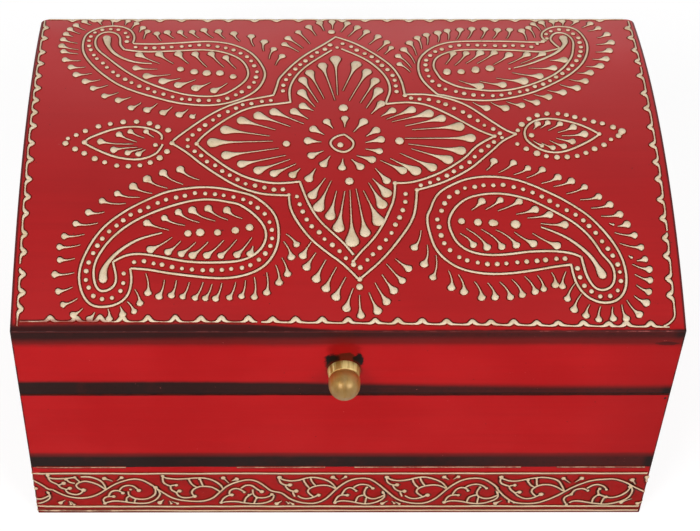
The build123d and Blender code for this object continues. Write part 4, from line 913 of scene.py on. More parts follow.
def painted_board(name, colours, is_lid, crosswise):
    """Red paint with its dark bands, wear, painted light and painted shade outside, bare wood inside."""
    material, recipe, shader = new_material(name)
    where = recipe.node("ShaderNodeSeparateXYZ")
    recipe.feed(where.inputs[0], recipe.place())
    x, y, z = where.outputs
    skin = recipe.use("Paint skin")
    paint = recipe.use("Brushed paint", Paint=colours.red, Deep=colours.deep_red)
    grain = recipe.use("Wood grain", Light=colours.wood_light, Dark=colours.wood_dark, Crosswise=crosswise)
    thinning = recipe.ramp(x, -70, 90, 0.08, 0.75) if is_lid else recipe.ramp(x, 10, 90, 0, 0.75)
    wax = recipe.mix(thinning, colours.band, colours.band_red)
    wax = recipe.mix(recipe.ramp(recipe.noise(9, 4, 0.6), 0.5, 0.8, 0, 0.5), wax, colours.band_red)
    wax = recipe.lay(recipe.ramp(recipe.noise(1.3, 4, 0.7), 0.5, 0.68), wax, shade(20, 11, 9), 0.5)
    wax = recipe.lay(recipe.ramp(x, HALF_WIDTH - 4, HALF_WIDTH - 1.5), wax, shade(18, 11, 9), 0.85)
    front = recipe.ramp(y, -HALF_DEPTH + 0.3, -HALF_DEPTH + 0.6, 1, 0)
    # painted shade: the red on the front darker towards its right end
    colour = recipe.lay(recipe.math("MULTIPLY", recipe.ramp(x, 60, 100), front), paint["Color"], shade(146, 9, 12), 0.5)
    if is_lid:
        # painted sheen: the lid's red paler and pinker in its middle
        colour = recipe.lay(recipe.ramp(y, -25, 10), colour, shade(188, 34, 36), 0.5)
        # painted light: the lid's red lighter towards its back
        colour = recipe.lay(recipe.ramp(y, 5, 55), colour, shade(208, 26, 30), 0.8)
        colour = lid_wax(recipe, colours, skin["Below top"], (x, y, z), front, colour, wax)
    else:
        colour = body_wax(recipe, colours, (x, y, z), front, colour, wax)

    # upright corners: a thin line of wax
    corner = recipe.math("MULTIPLY", recipe.ramp(recipe.math("ABSOLUTE", x), HALF_WIDTH - 0.7, HALF_WIDTH - 0.3),
                         recipe.ramp(recipe.math("ABSOLUTE", y), HALF_DEPTH - 0.7, HALF_DEPTH - 0.3))
    colour = recipe.lay(corner, colour, colours.band, recipe.ramp(recipe.noise(4, 3), 0.35, 0.6, 0.2, 0.85))
    # painted shade and old wax: darker red-brown beside everything raised, where shade falls and a cloth left wax
    near = recipe.node("ShaderNodeAmbientOcclusion", samples=16)
    near.inputs["Distance"].default_value = SHADE_AND_WAX_REACH * MM
    crevice_shade_and_wax = recipe.ramp(near.outputs["AO"], 0.68, 0.98, 1, 0)
    patchy = recipe.ramp(recipe.noise(2.8, 3, 0.6), 0.3, 0.6, 0.25, 0.7)
    colour = recipe.lay(crevice_shade_and_wax, colour, shade(104, 34, 14), patchy)
    # flecks, dark and pale
    flecks = recipe.ramp(recipe.noise(1.1, 1, 0.5, shift=(2, 31, 5)), 0.79, 0.82)
    colour = recipe.lay(flecks, colour, shade(40, 20, 16), 0.8)
    chips = recipe.ramp(recipe.noise(0.9, 1, 0.5, shift=(21, 3, 8)), 0.815, 0.84)
    colour = recipe.lay(chips, colour, shade(196, 98, 92), 0.6)

    recipe.feed(shader["Base Color"], recipe.mix(skin["Mask"], grain["Color"], colour))
    recipe.feed(shader["Roughness"], recipe.ramp(skin["Mask"], 0, 1, 0.72, paint["Roughness"]))
    height = recipe.math("ADD", recipe.math("MULTIPLY", grain["Height"], recipe.math("SUBTRACT", 1, skin["Mask"])),
                         recipe.math("MULTIPLY", paint["Height"], skin["Mask"]))
    recipe.feed(shader["Normal"], bump(recipe, height, 0.05))
    shader["Specular IOR Level"].default_value = SIDE_SHINE
    if is_lid:
        polished = recipe.math("MULTIPLY", recipe.ramp(skin["Below top"], 0.2, 0.35, 1, 0),
                               recipe.ramp(y, -HALF_DEPTH + 0.3, -HALF_DEPTH + 3.5, 0.35, TOP_POLISH))
        recipe.feed(shader["Coat Weight"], polished)
        recipe.feed(shader["Coat Roughness"], recipe.ramp(recipe.noise(30, 3), 0.3, 0.7, 0.36, 0.5))
    return material


def lid_wax(recipe, colours, below, place, front, colour, wax):
    """The lid's dark bands, the painted shadow over the seam, the strip behind its front edge, rubbed paint and the
    smudges round the knob.
    """
    x, y, z = place
    on_side = recipe.ramp(below, 0.25, 0.5)
    # the band over the seam, whose top edge falls to the right
    tilt = recipe.ramp(x, -60, 90, 0, 2.4)
    seam = recipe.use("Ragged band", Level=recipe.math("ADD", z, tilt), Low=50.0, High=SEAM_BAND_TOP,
                      High_soft=recipe.ramp(x, -60, 60, 0.9, 1.7), Wander=0.8)["Mask"]
    # the band under the front edge: dark above, thinning to brown red
    thin = recipe.use("Ragged band", Level=below, Low=-9.0, High=5.9, High_soft=1.5, Wander=1.2)["Mask"]
    thick_end = recipe.ramp(x, -90, -40, 3.8, 2.9)
    thick = recipe.use("Ragged band", Level=below, Low=-9.0, High=thick_end, High_soft=1.4, Wander=1.3)["Mask"]
    colour = recipe.lay(recipe.math("MULTIPLY", thin, on_side), colour, shade(92, 18, 15), 0.85)
    colour = recipe.lay(recipe.math("MULTIPLY", thick, on_side), colour, wax, 0.95)
    colour = recipe.lay(recipe.math("MULTIPLY", seam, on_side), colour, wax, 1)
    # painted shadow: black along its lower edge, where the lid meets the body
    colour = recipe.lay(recipe.ramp(z, RAIL_LOW.z + 0.4, RAIL_LOW.z + 0.9, 1, 0), colour, shade(18, 10, 9), 0.85)
    smear = spot(recipe, x, z, HALF_WIDTH - 4.5, RAIL_HIGH.z - 2.8, 3.6, 0.85, 0.45)
    colour = recipe.lay(recipe.math("MULTIPLY", smear, front), colour, colours.band, 0.65)
    # the strip on top behind the front edge, wider on the left
    strip_width = recipe.ramp(x, -34, -2, 2.2, 0.55)
    strip = recipe.use("Ragged band", Level=recipe.math("ADD", y, HALF_DEPTH), Low=-5.0, High=strip_width,
                       High_soft=recipe.ramp(x, -90, -40, 1.1, 0.35), Wander=1.0)["Mask"]
    colour = recipe.lay(recipe.math("MULTIPLY", strip, recipe.math("SUBTRACT", 1, on_side)), colour, wax,
                        0.95)
    # thin dark lines along the two ends of the top
    end_line = recipe.ramp(recipe.math("ABSOLUTE", x), HALF_WIDTH - 0.9, HALF_WIDTH - 0.5)
    colour = recipe.lay(recipe.math("MULTIPLY", end_line, recipe.math("SUBTRACT", 1, on_side)), colour, colours.band,
                        0.75)
    # smudges of wax round the knob, with fresh red above them
    fresh = spot(recipe, x, z, KNOB_X - 0.15, KNOB_Z + 9.6, 5.0, 3.4, 0.25)
    colour = recipe.lay(recipe.math("MULTIPLY", fresh, front), colour, shade(128, 4, 4), 0.6)
    stain = spot(recipe, x, z, KNOB_X + 0.5, KNOB_Z + 6.2, 3.0, 2.1, 0.4)
    colour = recipe.lay(recipe.math("MULTIPLY", stain, front), colour, colours.grime_and_shadow, 0.85)
    left = spot(recipe, x, z, KNOB_X - 3.5, KNOB_Z + 4.1, 2.3, 3.7)
    right = spot(recipe, x, z, KNOB_X + 3.9, KNOB_Z + 4.4, 1.7, 3.6)
    colour = recipe.lay(recipe.math("MULTIPLY", recipe.math("MAXIMUM", left, right), front), colour,
                        shade(20, 11, 9), 1)
    # paint rubbed off along the front arris
    arris = recipe.math("MULTIPLY", recipe.ramp(recipe.math("ABSOLUTE", below), 0.1, 0.25, 1, 0),
                        recipe.ramp(recipe.math("ADD", y, HALF_DEPTH), 0.1, 0.25, 1, 0))
    dashes = recipe.ramp(recipe.noise(2.0, 4, 0.75, stretch=(0.45, 1, 1), shift=(11, 0, 0)), 0.5, 0.64)
    return recipe.lay(recipe.math("MULTIPLY", arris, dashes), colour, shade(192, 104, 98), recipe.ramp(x, 20, 80, 0.12, 0.55))


def body_wax(recipe, colours, place, front, colour, wax):
    """The band over the vine, the dark rim under the lid, with dark paint and painted shadow, darkening at the foot and
    the nail.
    """
    x, y, z = place
    thin = recipe.use("Ragged band", Level=z, Low=FOOT_BAND_LOW, High=FOOT_BAND_HIGH + 0.8, Low_soft=0.12,
                      High_soft=0.7, Wander=0.6)
    colour = recipe.lay(thin["Mask"], colour, shade(92, 18, 16), 0.8)
    foot = recipe.use("Ragged band", Level=z, Low=FOOT_BAND_LOW, High=FOOT_BAND_HIGH - 0.8, Low_soft=0.12,
                      High_soft=1.3, Wander=0.6)
    colour = recipe.lay(foot["Mask"], colour, wax, 1)
    # dark paint on the rim and painted shadow under the lid's edge
    rim = recipe.use("Ragged band", Level=z, Low=BODY_TOP - 0.5, High=BODY_TOP + 9, Low_soft=0.2, Wander=0.7)
    colour = recipe.lay(rim["Mask"], colour, shade(16, 9, 8), 0.95)
    colour = recipe.lay(recipe.ramp(z, 22, 24, 1, 0), colour, shade(134, 16, 10),
                        recipe.ramp(recipe.noise(6, 3, 0.6), 0.3, 0.7, 0.35, 0.75))
    # darker towards the foot of the box
    low_darkening = recipe.use("Ragged band", Level=z, Low=-4.0, High=3.4, High_soft=0.5, Wander=1.0)
    colour = recipe.lay(low_darkening["Mask"], colour, colours.grime_and_shadow, 0.4)
    nail = spot(recipe, x, z, NAIL_X, NAIL_Z, 0.4, 0.6, 0.3)
    return recipe.lay(recipe.math("MULTIPLY", nail, front), colour, shade(30, 16, 14), 0.9)


def cream_relief(name, colours):
    """Thick cream paint, darker at its foot: partly wax that settled against it, partly painted shade."""
    material, recipe, shader = new_material(name)
    where = recipe.node("ShaderNodeSeparateXYZ")
    recipe.feed(where.inputs[0], recipe.place())
    x, y, z = where.outputs
    rise = recipe.node("ShaderNodeAttribute", attribute_name="rise").outputs["Fac"]
    yellowed = recipe.ramp(recipe.noise(5, 4, 0.6), 0.42, 0.74, 0, 0.8)
    colour = recipe.mix(yellowed, colours.cream, colours.cream_dark)
    worn = recipe.ramp(recipe.noise(0.7, 3, 0.7), 0.58, 0.7)
    colour = recipe.lay(worn, colour, shade(168, 132, 96), 0.55)
    # the vine is browner than the lid's ornament
    colour = recipe.lay(recipe.ramp(z, 30, 50, 1, 0), colour, shade(196, 158, 118), 0.55)
    worn_foot = recipe.math("MULTIPLY", recipe.ramp(x, -76, -60, 1, 0), recipe.ramp(z, 2.4, 3.4, 1, 0))
    colour = recipe.lay(recipe.math("MULTIPLY", worn_foot, recipe.ramp(recipe.noise(4, 3, 0.6), 0.4, 0.55)),
                        colour, shade(116, 66, 52), 0.8)
    # painted shade and wax stain: the cream darkens towards its foot
    ragged = recipe.math("MULTIPLY", recipe.math("SUBTRACT", recipe.noise(1.3, 3, 0.6), 0.5), 0.14)
    foot = recipe.ramp(recipe.math("ADD", rise, ragged), 0.0, 0.17, 1, 0)
    colour = recipe.lay(foot, colour, shade(120, 58, 40), 0.85)
    # the hair line over the vine is worn through in places
    hair = recipe.use("Ragged band", Level=z, Low=BAND_LINE_HEIGHT - 0.5, High=BAND_LINE_HEIGHT + 0.6)["Mask"]
    thin = recipe.ramp(recipe.noise(3.5, 3, 0.7, shift=(4, 4, 4)), 0.4, 0.6, 0.15, 0.9)
    colour = recipe.lay(hair, colour, shade(150, 60, 50), thin)
    # the front left corner, where the red was brushed over the cream
    corner = recipe.math("MULTIPLY", recipe.ramp(x, -72, -64, 1, 0), recipe.ramp(y, -61.0, -59.8, 1, 0))
    corner = recipe.math("MULTIPLY", corner, recipe.ramp(z, 82, 87))
    tint = recipe.ramp(recipe.noise(4, 3, 0.6, shift=(9, 9, 9)), 0.35, 0.6, 0.35, 0.9)
    colour = recipe.lay(corner, colour, shade(142, 50, 48), tint)
    recipe.feed(shader["Base Color"], colour)
    recipe.feed(shader["Roughness"], recipe.ramp(recipe.noise(3, 3), 0.3, 0.7, 0.5, 0.68))
    recipe.feed(shader["Normal"], bump(recipe, recipe.noise(0.5, 3, 0.6), 0.04))
    shader["Specular IOR Level"].default_value = 0.3
    return material


def old_wax_and_shadow(name, colours):
    """Beside the raised paint, partly wax that a cloth left and partly painted shadow: dark brown, in places wiped down
    to the red.
    """
    material, recipe, shader = new_material(name)
    where = recipe.node("ShaderNodeSeparateXYZ")
    recipe.feed(where.inputs[0], recipe.place())
    x, y, z = where.outputs
    # thick round the vine and towards the lid's front right corner, thin on the rest of the lid
    corner = recipe.math("MULTIPLY", recipe.ramp(x, 10, 80), recipe.ramp(y, -60, -5, 1, 0))
    thin = recipe.ramp(corner, 0, 1, 0.95, 0.6)
    thin = recipe.math("MULTIPLY", thin, recipe.ramp(z, 40, 60, 0.5, 1))
    wiped = recipe.ramp(recipe.noise(4.5, 4, 0.65), 0.4, 0.7, 0.75, 1.3)
    colour = recipe.mix(recipe.math("MULTIPLY", thin, wiped, clamp=True), colours.grime_and_shadow, shade(152, 34, 18))
    recipe.feed(shader["Base Color"], colour)
    recipe.feed(shader["Roughness"], recipe.ramp(recipe.noise(1.5, 3), 0.3, 0.7, 0.45, 0.6))
    recipe.feed(shader["Normal"], bump(recipe, recipe.noise(0.6, 3, 0.6), 0.02))
    shader["Specular IOR Level"].default_value = 0.1
    return material


def worn_metal(name, metal, tarnish, wear, low_gloss, high_gloss):
    """A metal part with wear of its own."""
    material, recipe, shader = new_material(name)
    look = recipe.use("Metal wear", Metal=metal, Tarnish=tarnish, Wear=wear, Low_gloss=low_gloss, High_gloss=high_gloss)
    recipe.feed(shader["Base Color"], look["Color"])
    recipe.feed(shader["Roughness"], look["Roughness"])
    recipe.feed(shader["Normal"], bump(recipe, look["Height"], 0.02))
    shader["Metallic"].default_value = 1
    return material


def knob_metal(name):
    """Satin brass under old lacquer, with fine rings from the lathe, painted highlight streaks and painted shade with a
    red reflection in the neck.
    """
    material, recipe, shader = new_material(name)
    where = recipe.node("ShaderNodeSeparateXYZ")
    recipe.feed(where.inputs[0], recipe.place())
    _, y, z = where.outputs
    out = recipe.math("SUBTRACT", -HALF_DEPTH, y)
    look = recipe.use("Metal wear", Metal=shade(194, 152, 78), Tarnish=shade(138, 96, 44), Wear=0.6,
                      Low_gloss=0.38, High_gloss=0.55)
    # painted shade and red reflection in the neck between collar and head
    neck = recipe.math("MULTIPLY", recipe.ramp(out, KNOB_COLLAR_LENGTH - 0.15, KNOB_COLLAR_LENGTH + 0.05),
                       recipe.ramp(out, KNOB_HEAD_START + 0.1, KNOB_HEAD_START + 2.4, 1, 0))
    collar = recipe.ramp(out, KNOB_COLLAR_LENGTH - 0.3, KNOB_COLLAR_LENGTH - 0.1, 1, 0)
    # painted highlights along the axis, strong on the collar and faint on the head
    streaks = recipe.ramp(recipe.noise(1.1, 3, 0.6, stretch=(1, 0.04, 0.35), shift=(2, 0, 5)), 0.38, 0.62)
    toned = recipe.lay(streaks, look["Color"], shade(214, 192, 140), 0.3)
    collar_highlights = recipe.mix(streaks, shade(160, 118, 50), shade(248, 226, 150))
    toned = recipe.lay(recipe.ramp(out, KNOB_HEAD_START + 2.2, KNOB_HEAD_START + 6), toned, shade(126, 90, 42), 0.68)
    # the collar painted light with its highlight streaks
    toned = recipe.lay(collar, toned, collar_highlights, 0.85)
    recipe.feed(shader["Base Color"], recipe.lay(neck, toned, shade(206, 134, 58), 0.7))
    recipe.feed(shader["Roughness"], look["Roughness"])
    rings = recipe.math("SINE", recipe.math("MULTIPLY", y, 2 * math.pi / KNOB_RING_PITCH))
    wobble = recipe.math("ADD", recipe.math("MULTIPLY", rings, 0.5), look["Height"])
    recipe.feed(shader["Normal"], bump(recipe, wobble, 0.012))
    recipe.feed(shader["Metallic"], recipe.math("SUBTRACT", 0.55, recipe.math("MULTIPLY", collar, 0.3)))
    shader["Coat Weight"].default_value = 0.16
    shader["Coat Roughness"].default_value = 0.2
    return material


# ---------------------------------------------------------------- raised paint


class Ornament:
    """Strokes and dots in flat millimetres, before they are laid on the box."""

    def __init__(self, sizes, seed_step):
        self.sizes = sizes
        self.hand = random.Random(sizes.seed * 100 + seed_step)
        self.strokes = []
        self.dots = []

    def waver(self, radius):
        spread = self.sizes.unevenness
        return radius * (1 + self.hand.uniform(-spread, spread))

    def line(self, points, width=None, blunt=1.0, resolution=3):
        """An outline: even width, slightly wavering, with a blunt end."""
        half = (width or self.sizes.line) / MM / 2
        radii = [self.waver(half) for _ in points]
        radii[0] *= blunt
        radii[-1] *= blunt
        self.strokes.append((list(points), radii, resolution))

    def drop(self, tail_u, tail_v, head_u, head_v, radius, bend=0.0, swell=1.9, size=1.0):
        """A drop: a thin tail that swells over the last few head widths into a round head."""
        tail, head = Vector((tail_u, tail_v)), Vector((head_u, head_v))
        length = (head - tail).length
        along = (head - tail) / length
        aside = Vector((along.y, -along.x)) * bend * length
        thin = self.sizes.tail / MM / 2
        radius = self.waver(radius * size)
        neck = max(length - 0.8 * swell * radius, 0.3 * length)
        shoulder = neck + 0.6 * (length - neck)
        places = ((0, 0.7 * thin), (0.5 * neck, 0.95 * thin), (neck, 1.1 * thin), (shoulder, 0.48 * radius),
                  (length + 0.02 * radius, 1.1 * radius), (length + 0.75 * radius, 0.85 * radius),
                  (length + 0.96 * radius, 0.25 * radius))
        points = []
        for reach, _ in places:
            share = min(reach / length, 1)
            points.append(tail + along * reach + aside * 4 * share * (1 - share))
        self.strokes.append((points, [half for _, half in places], 2))

    def dot(self, u, v, radius):
        self.dots.append((u, v, self.waver(self.waver(radius))))

    def beads(self, first, second, step=None, closed=True):
        """Dots midway between two outlines, an even step apart."""
        step = (step or self.sizes.bead_step) / MM
        middle = [(point + nearest(point, second)) / 2 for point in walk(first, 0.4)]
        path = walk(middle, 0.1)
        count = max(round(0.1 * len(path) / step), 1)
        for index in range(count):
            point = path[int((index + 0.5) * len(path) / count)]
            wander = [self.hand.uniform(-0.26, 0.26) for _ in range(2)]
            self.dot(point.x + wander[0], point.y + wander[1], self.sizes.bead / MM / 2)


def walk(points, step):
    """Points an even step apart along straight runs through the given points."""
    found = []
    carried = 0.0
    for start, end in zip(points, points[1:]):
        start, end = Vector(start[:2]), Vector(end[:2])
        length = (end - start).length
        while carried < length:
            found.append(start.lerp(end, carried / length))
            carried += step
        carried -= length
    return found


def nearest(point, line):
    """The nearest place to point on the straight runs through line."""
    best = None
    for start, end in zip(line, line[1:]):
        start, run = Vector(start), Vector(end) - Vector(start)
        share = min(max((point - start).dot(run) / run.length_squared, 0), 1)
        candidate = start + run * share
        if best is None or (candidate - point).length < (best - point).length:
            best = candidate
    return best


def on_lid(u, v, height):
    """The place of a point u to the right and v to the back on the bowed lid, in metres."""
    turn = v / BOW_RADIUS
    reach = BOW_RADIUS + height
    return Vector((u, reach * math.sin(turn), BOW_CENTRE + reach * math.cos(turn))) * MM


def round_body(along, z, height):
    """The place of a point on the body's outside, in metres. Along is counted from the front's middle."""
    straight_front = HALF_WIDTH - FRONT_CORNER
    straight_back = HALF_WIDTH - BACK_CORNER
    straight_side = 2 * HALF_DEPTH - FRONT_CORNER - BACK_CORNER
    quarter_front, quarter_back = (math.pi / 2 * radius for radius in (FRONT_CORNER, BACK_CORNER))
    mirror = 1 if along >= 0 else -1
    left = abs(along)
    x, y, turn = straight_front, -HALF_DEPTH, 0.0
    if left <= straight_front:
        x = left
    elif left <= straight_front + quarter_front:
        turn = (left - straight_front) / FRONT_CORNER
        x += FRONT_CORNER * math.sin(turn)
        y += FRONT_CORNER * (1 - math.cos(turn))
    elif left <= straight_front + quarter_front + straight_side:
        turn = math.pi / 2
        x, y = HALF_WIDTH, -HALF_DEPTH + FRONT_CORNER + left - straight_front - quarter_front
    else:
        left -= straight_front + quarter_front + straight_side
        turn = math.pi / 2 + min(left / BACK_CORNER, math.pi / 2)
        x = straight_back + BACK_CORNER * math.sin(turn) - max(left - quarter_back, 0)
        y = HALF_DEPTH - BACK_CORNER - BACK_CORNER * math.cos(turn)
    return Vector((mirror * (x + height * math.sin(turn)), y - height * math.cos(turn), z)) * MM


def half_way_round():
    """The distance along the body's outside from the front's middle to the back's middle."""
    return (2 * HALF_WIDTH + 2 * HALF_DEPTH - (2 - math.pi / 2) * (FRONT_CORNER + BACK_CORNER))


def round_strokes(strokes, wider, roundness):
    """A mesh of round rods along flat strokes, each a little wider than its stroke."""
    curve = bpy.data.curves.new("strokes", "CURVE")
    curve.dimensions = "3D"
    curve.twist_mode = "Z_UP"
    curve.bevel_depth = 1
    curve.bevel_resolution = roundness
    curve.use_fill_caps = True
    for points, radii, resolution in strokes:
        spline = curve.splines.new("NURBS")
        spline.points.add(len(points) - 1)
        for target, point, radius in zip(spline.points, points, radii):
            target.co = (point[0], point[1], 0, 1)
            target.radius = radius + wider
        spline.order_u = 3
        spline.use_endpoint_u = True
        spline.resolution_u = resolution
    helper = bpy.data.objects.new("strokes", curve)
    bpy.context.scene.collection.objects.link(helper)
    graph = bpy.context.evaluated_depsgraph_get()
    mesh = bpy.data.meshes.new_from_object(helper.evaluated_get(graph))
    bpy.data.objects.remove(helper)
    bpy.data.curves.remove(curve)
    return mesh


# The dark rim beside the raised paint, partly wax and partly painted shadow: its thickness, how deep it sits in the
# board, and how far it is shifted to the right and to the front, where the cloth dragged the wax and the painted shadow
# falls
WAX_THICK = 0.05
WAX_DEEP = 0.1
WAX_AND_SHADOW_SHIFT = Vector((0.08, -0.12, 0))


def lay(ornament, name, place, body, material, spread=1.0):
    """Turns flat strokes and dots into raised paint on the box, with a thin dark rim at its foot, partly wax and partly
    painted shadow.
    """
    wider = spread * ornament.sizes.wax / MM
    shape = bmesh.new()
    for u, v, radius in ornament.dots:
        rim = Matrix.Translation(Vector((u, v, 0)) + WAX_AND_SHADOW_SHIFT)
        bmesh.ops.create_cone(shape, cap_ends=True, segments=10, radius1=radius + wider, radius2=radius + wider - 0.1,
                              depth=2, matrix=rim)
    shape.from_mesh(round_strokes(ornament.strokes, wider, 0))
    rise = shape.verts.layers.float.new("rise")
    for vert in shape.verts:
        height = WAX_THICK if vert.co.z > -0.01 else -WAX_DEEP
        vert.co = place(vert.co.x, vert.co.y, height)
    for face in shape.faces:
        face.material_index = 1
    painted = bmesh.new()
    for u, v, radius in ornament.dots:
        bmesh.ops.create_uvsphere(painted, u_segments=8, v_segments=6, radius=radius,
                                  matrix=Matrix.Translation((u, v, 0)))
    painted.from_mesh(round_strokes(ornament.strokes, 0, 2))
    rise = painted.verts.layers.float.new("rise")
    limit = ornament.sizes.build_up / MM
    for vert in painted.verts:
        height = math.copysign(limit * (1 - math.exp(-abs(vert.co.z) / limit)), vert.co.z)
        vert[rise] = height
        vert.co = place(vert.co.x, vert.co.y, height)
    for face in painted.faces:
        face.smooth = True
    mesh = bpy.data.meshes.new(name)
    painted.to_mesh(mesh)
    painted.free()
    shape.from_mesh(mesh)
    bmesh.ops.recalc_face_normals(shape, faces=shape.faces)
    shape.to_mesh(mesh)
    shape.free()
    mesh.materials.append(material)
    mesh.materials.append(bpy.data.materials["old_wax_and_shadow"])
    piece = bpy.data.objects.new(name, mesh)
    bpy.context.scene.collection.objects.link(piece)
    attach(piece, body)
    return piece


def lay_drops(ornament, drops, bend=0.0, swell=1.9, size=1.0):
    """A row of drops that bend alike."""
    for drop in drops:
        ornament.drop(*drop, bend=bend, swell=swell, size=size)


# Half of one cusp of the border from its tip outwards: (distance, share of its height, half width)
CUSP = ((0.1, 0.95, 0.46), (0.5, 0.5, 0.68), (1.15, 0.13, 0.46), (2.1, 0.0, 0.22))


def wave_line(ornament, ends, levels, peaks, lift, across=False, thread=1.0):
    """One side of the border: a thin line from end to end whose pointed cusps rise by lift.

    A thread under 1 thins the line between the cusps."""
    start, finish = ends
    points, radii = [(start, levels[0])], [0.22]
    for peak in sorted(peaks, reverse=start > finish):
        level = levels[0] + (levels[1] - levels[0]) * (peak - start) / (finish - start)
        height = lift * ornament.hand.uniform(0.85, 1.1)
        ahead = 1 if finish > start else -1
        halves = [(-ahead * far, share, half) for far, share, half in reversed(CUSP)]
        halves += [(ahead * far, share, half) for far, share, half in CUSP]
        for far, share, half in halves:
            points.append((peak + far, level + share * height + ornament.hand.uniform(-0.06, 0.06)))
            radii.append(ornament.waver(half if share else half * thread))
    points.append((finish, levels[1]))
    radii.append(0.2)
    if across:
        points = [(v, u) for u, v in points]
    ornament.strokes.append((points, radii, 2))


# ---------------------------------------------------------------- operators


class BOX_OT_paint_boards(Operator):
    """Paint the wooden boards red outside, leave them bare inside."""

    bl_idname = "box.paint_boards"
    bl_label = "Paint the boards"

    def execute(self, context):
        build_groups()
        colours = context.scene.box_colours
        body_long = painted_board("body_long_paint", colours, False, 0.0)
        body_end = painted_board("body_end_paint", colours, False, 1.0)
        lid_long = painted_board("lid_long_paint", colours, True, 0.0)
        lid_end = painted_board("lid_end_paint", colours, True, 1.0)
        finishes = {
            "body_front_board": body_long, "body_back_board": body_long, "body_left_end": body_end,
            "body_right_end": body_end, "bottom_board": body_long, "lid_front_rail": lid_long,
            "lid_back_rail": lid_long, "lid_left_end": lid_end, "lid_right_end": lid_end,
            "lid_top_board": lid_long,
        }
        for node, material in finishes.items():
            finish_node(node, material)
        return {"FINISHED"}


class BOX_OT_finish_metal(Operator):
    """Give the hinges, pins, screws and brads their metals."""

    bl_idname = "box.finish_metal"
    bl_label = "Finish the hardware"

    def execute(self, context):
        leaf = worn_metal("hinge_brass", shade(205, 165, 98), shade(128, 88, 44), 0.5, 0.25, 0.45)
        screw = worn_metal("screw_brass", shade(216, 178, 110), shade(130, 90, 46), 0.4, 0.22, 0.4)
        steel = worn_metal("pin_steel", shade(176, 176, 178), shade(96, 88, 80), 0.4, 0.25, 0.45)
        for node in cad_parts:
            if "leaf" in node:
                finish_node(node, leaf)
            elif "hinge_screws" in node:
                finish_node(node, screw)
            elif "pin" in node or "brads" in node or node == "knob_screw":
                finish_node(node, steel)
        return {"FINISHED"}


def finish_node(node, material):
    """Puts one material on every face of a CAD node."""
    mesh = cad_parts[node].data
    mesh.materials.clear()
    mesh.materials.append(material)


# The knob from the lid's face outwards, in millimetres
KNOB_COLLAR_LENGTH = 2.8
KNOB_COLLAR = 4.75
KNOB_COLLAR_FRONT = 4.35
KNOB_NECK = 3.6
KNOB_HEAD_START = 3.3
KNOB_HEAD = 4.55
KNOB_HEAD_STRAIGHT = 2.05
KNOB_RING_PITCH = 0.3
# Its outline up to the dome, as (distance from the face, radius)
KNOB_OUTLINE = (
    (0.0, KNOB_COLLAR - 0.1), (0.1, KNOB_COLLAR), (1.2, 4.6), (2.5, KNOB_COLLAR_FRONT + 0.05),
    (2.72, KNOB_COLLAR_FRONT - 0.1), (KNOB_COLLAR_LENGTH, KNOB_COLLAR_FRONT - 0.3), (2.74, KNOB_NECK + 0.25),
    (KNOB_COLLAR_LENGTH, KNOB_NECK), (3.2, KNOB_NECK), (KNOB_HEAD_START, KNOB_NECK + 0.25),
    (KNOB_HEAD_START, 4.15), (3.42, 4.4), (3.7, KNOB_HEAD), (KNOB_HEAD_START + KNOB_HEAD_STRAIGHT, KNOB_HEAD),
)


class BOX_OT_turn_knob(Operator):
    """Turn the brass knob on a lathe: collar, neck and domed head."""

    bl_idname = "box.turn_knob"
    bl_label = "Turn the knob"

    def execute(self, context):
        tip = -HALF_DEPTH - KNOB_LOW.y
        shoulder = KNOB_OUTLINE[-1][0]
        outline = list(KNOB_OUTLINE)
        for step in range(1, 9):
            turn = step / 9 * math.pi / 2
            outline.append((shoulder + (tip - 0.12 - shoulder) * math.sin(turn), KNOB_HEAD * math.cos(turn)))
        outline += [(tip - 0.1, 0.42), (tip - 0.02, 0.26), (tip, 0)]
        shape = bmesh.new()
        verts = [shape.verts.new((radius, -out, 0)) for out, radius in [(0, 0), *outline]]
        edges = [shape.edges.new(pair) for pair in zip(verts, verts[1:])]
        bmesh.ops.spin(shape, geom=verts + edges, cent=(0, 0, 0), axis=(0, 1, 0), dvec=(0, 0, 0),
                       angle=2 * math.pi, steps=64, use_merge=True)
        bmesh.ops.remove_doubles(shape, verts=shape.verts, dist=0.001)
        bmesh.ops.recalc_face_normals(shape, faces=shape.faces)
        move = Matrix.Scale(MM, 4) @ Matrix.Translation((KNOB_X, -HALF_DEPTH, KNOB_Z))
        bmesh.ops.transform(shape, matrix=move, verts=shape.verts)
        for face in shape.faces:
            face.smooth = True
        mesh = bpy.data.meshes.new("turned_knob")
        shape.to_mesh(mesh)
        shape.free()
        mesh.materials.append(knob_metal("knob_brass"))
        knob = bpy.data.objects.new("turned_knob", mesh)
        context.scene.collection.objects.link(knob)
        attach(knob, "lid")
        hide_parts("knob")
        return {"FINISHED"}


class BOX_OT_lay_star(Operator):
    """Lay the four-petalled star, its rosette and the fans at its tips."""

    bl_idname = "box.lay_star"
    bl_label = "Lay the star"

    def execute(self, context):
        sizes = context.scene.box_relief
        star = Ornament(sizes, 1)
        for outer, inner in zip(STAR_OUTER, STAR_INNER):
            star.line(outer)
            star.line(inner)
            star.beads(outer, inner)
        lay_drops(star, STAR_DROPS, swell=3.6, size=1.06)
        lay_drops(star, ROSETTE_DROPS, swell=3.0)
        star.line(ROSETTE_RING + ROSETTE_RING[:1])
        for blob in ROSETTE_DOTS + STAR_BLOBS:
            star.dot(*blob)
        material = cream_relief("cream_relief", context.scene.box_colours)
        old_wax_and_shadow("old_wax_and_shadow", context.scene.box_colours)
        lay(star, "lid_star", on_lid, "lid", material)
        fans = Ornament(sizes, 2)
        lay_drops(fans, STAR_FANS, 0.02, swell=2.6)
        lay(fans, "lid_star_fans", on_lid, "lid", material)
        return {"FINISHED"}


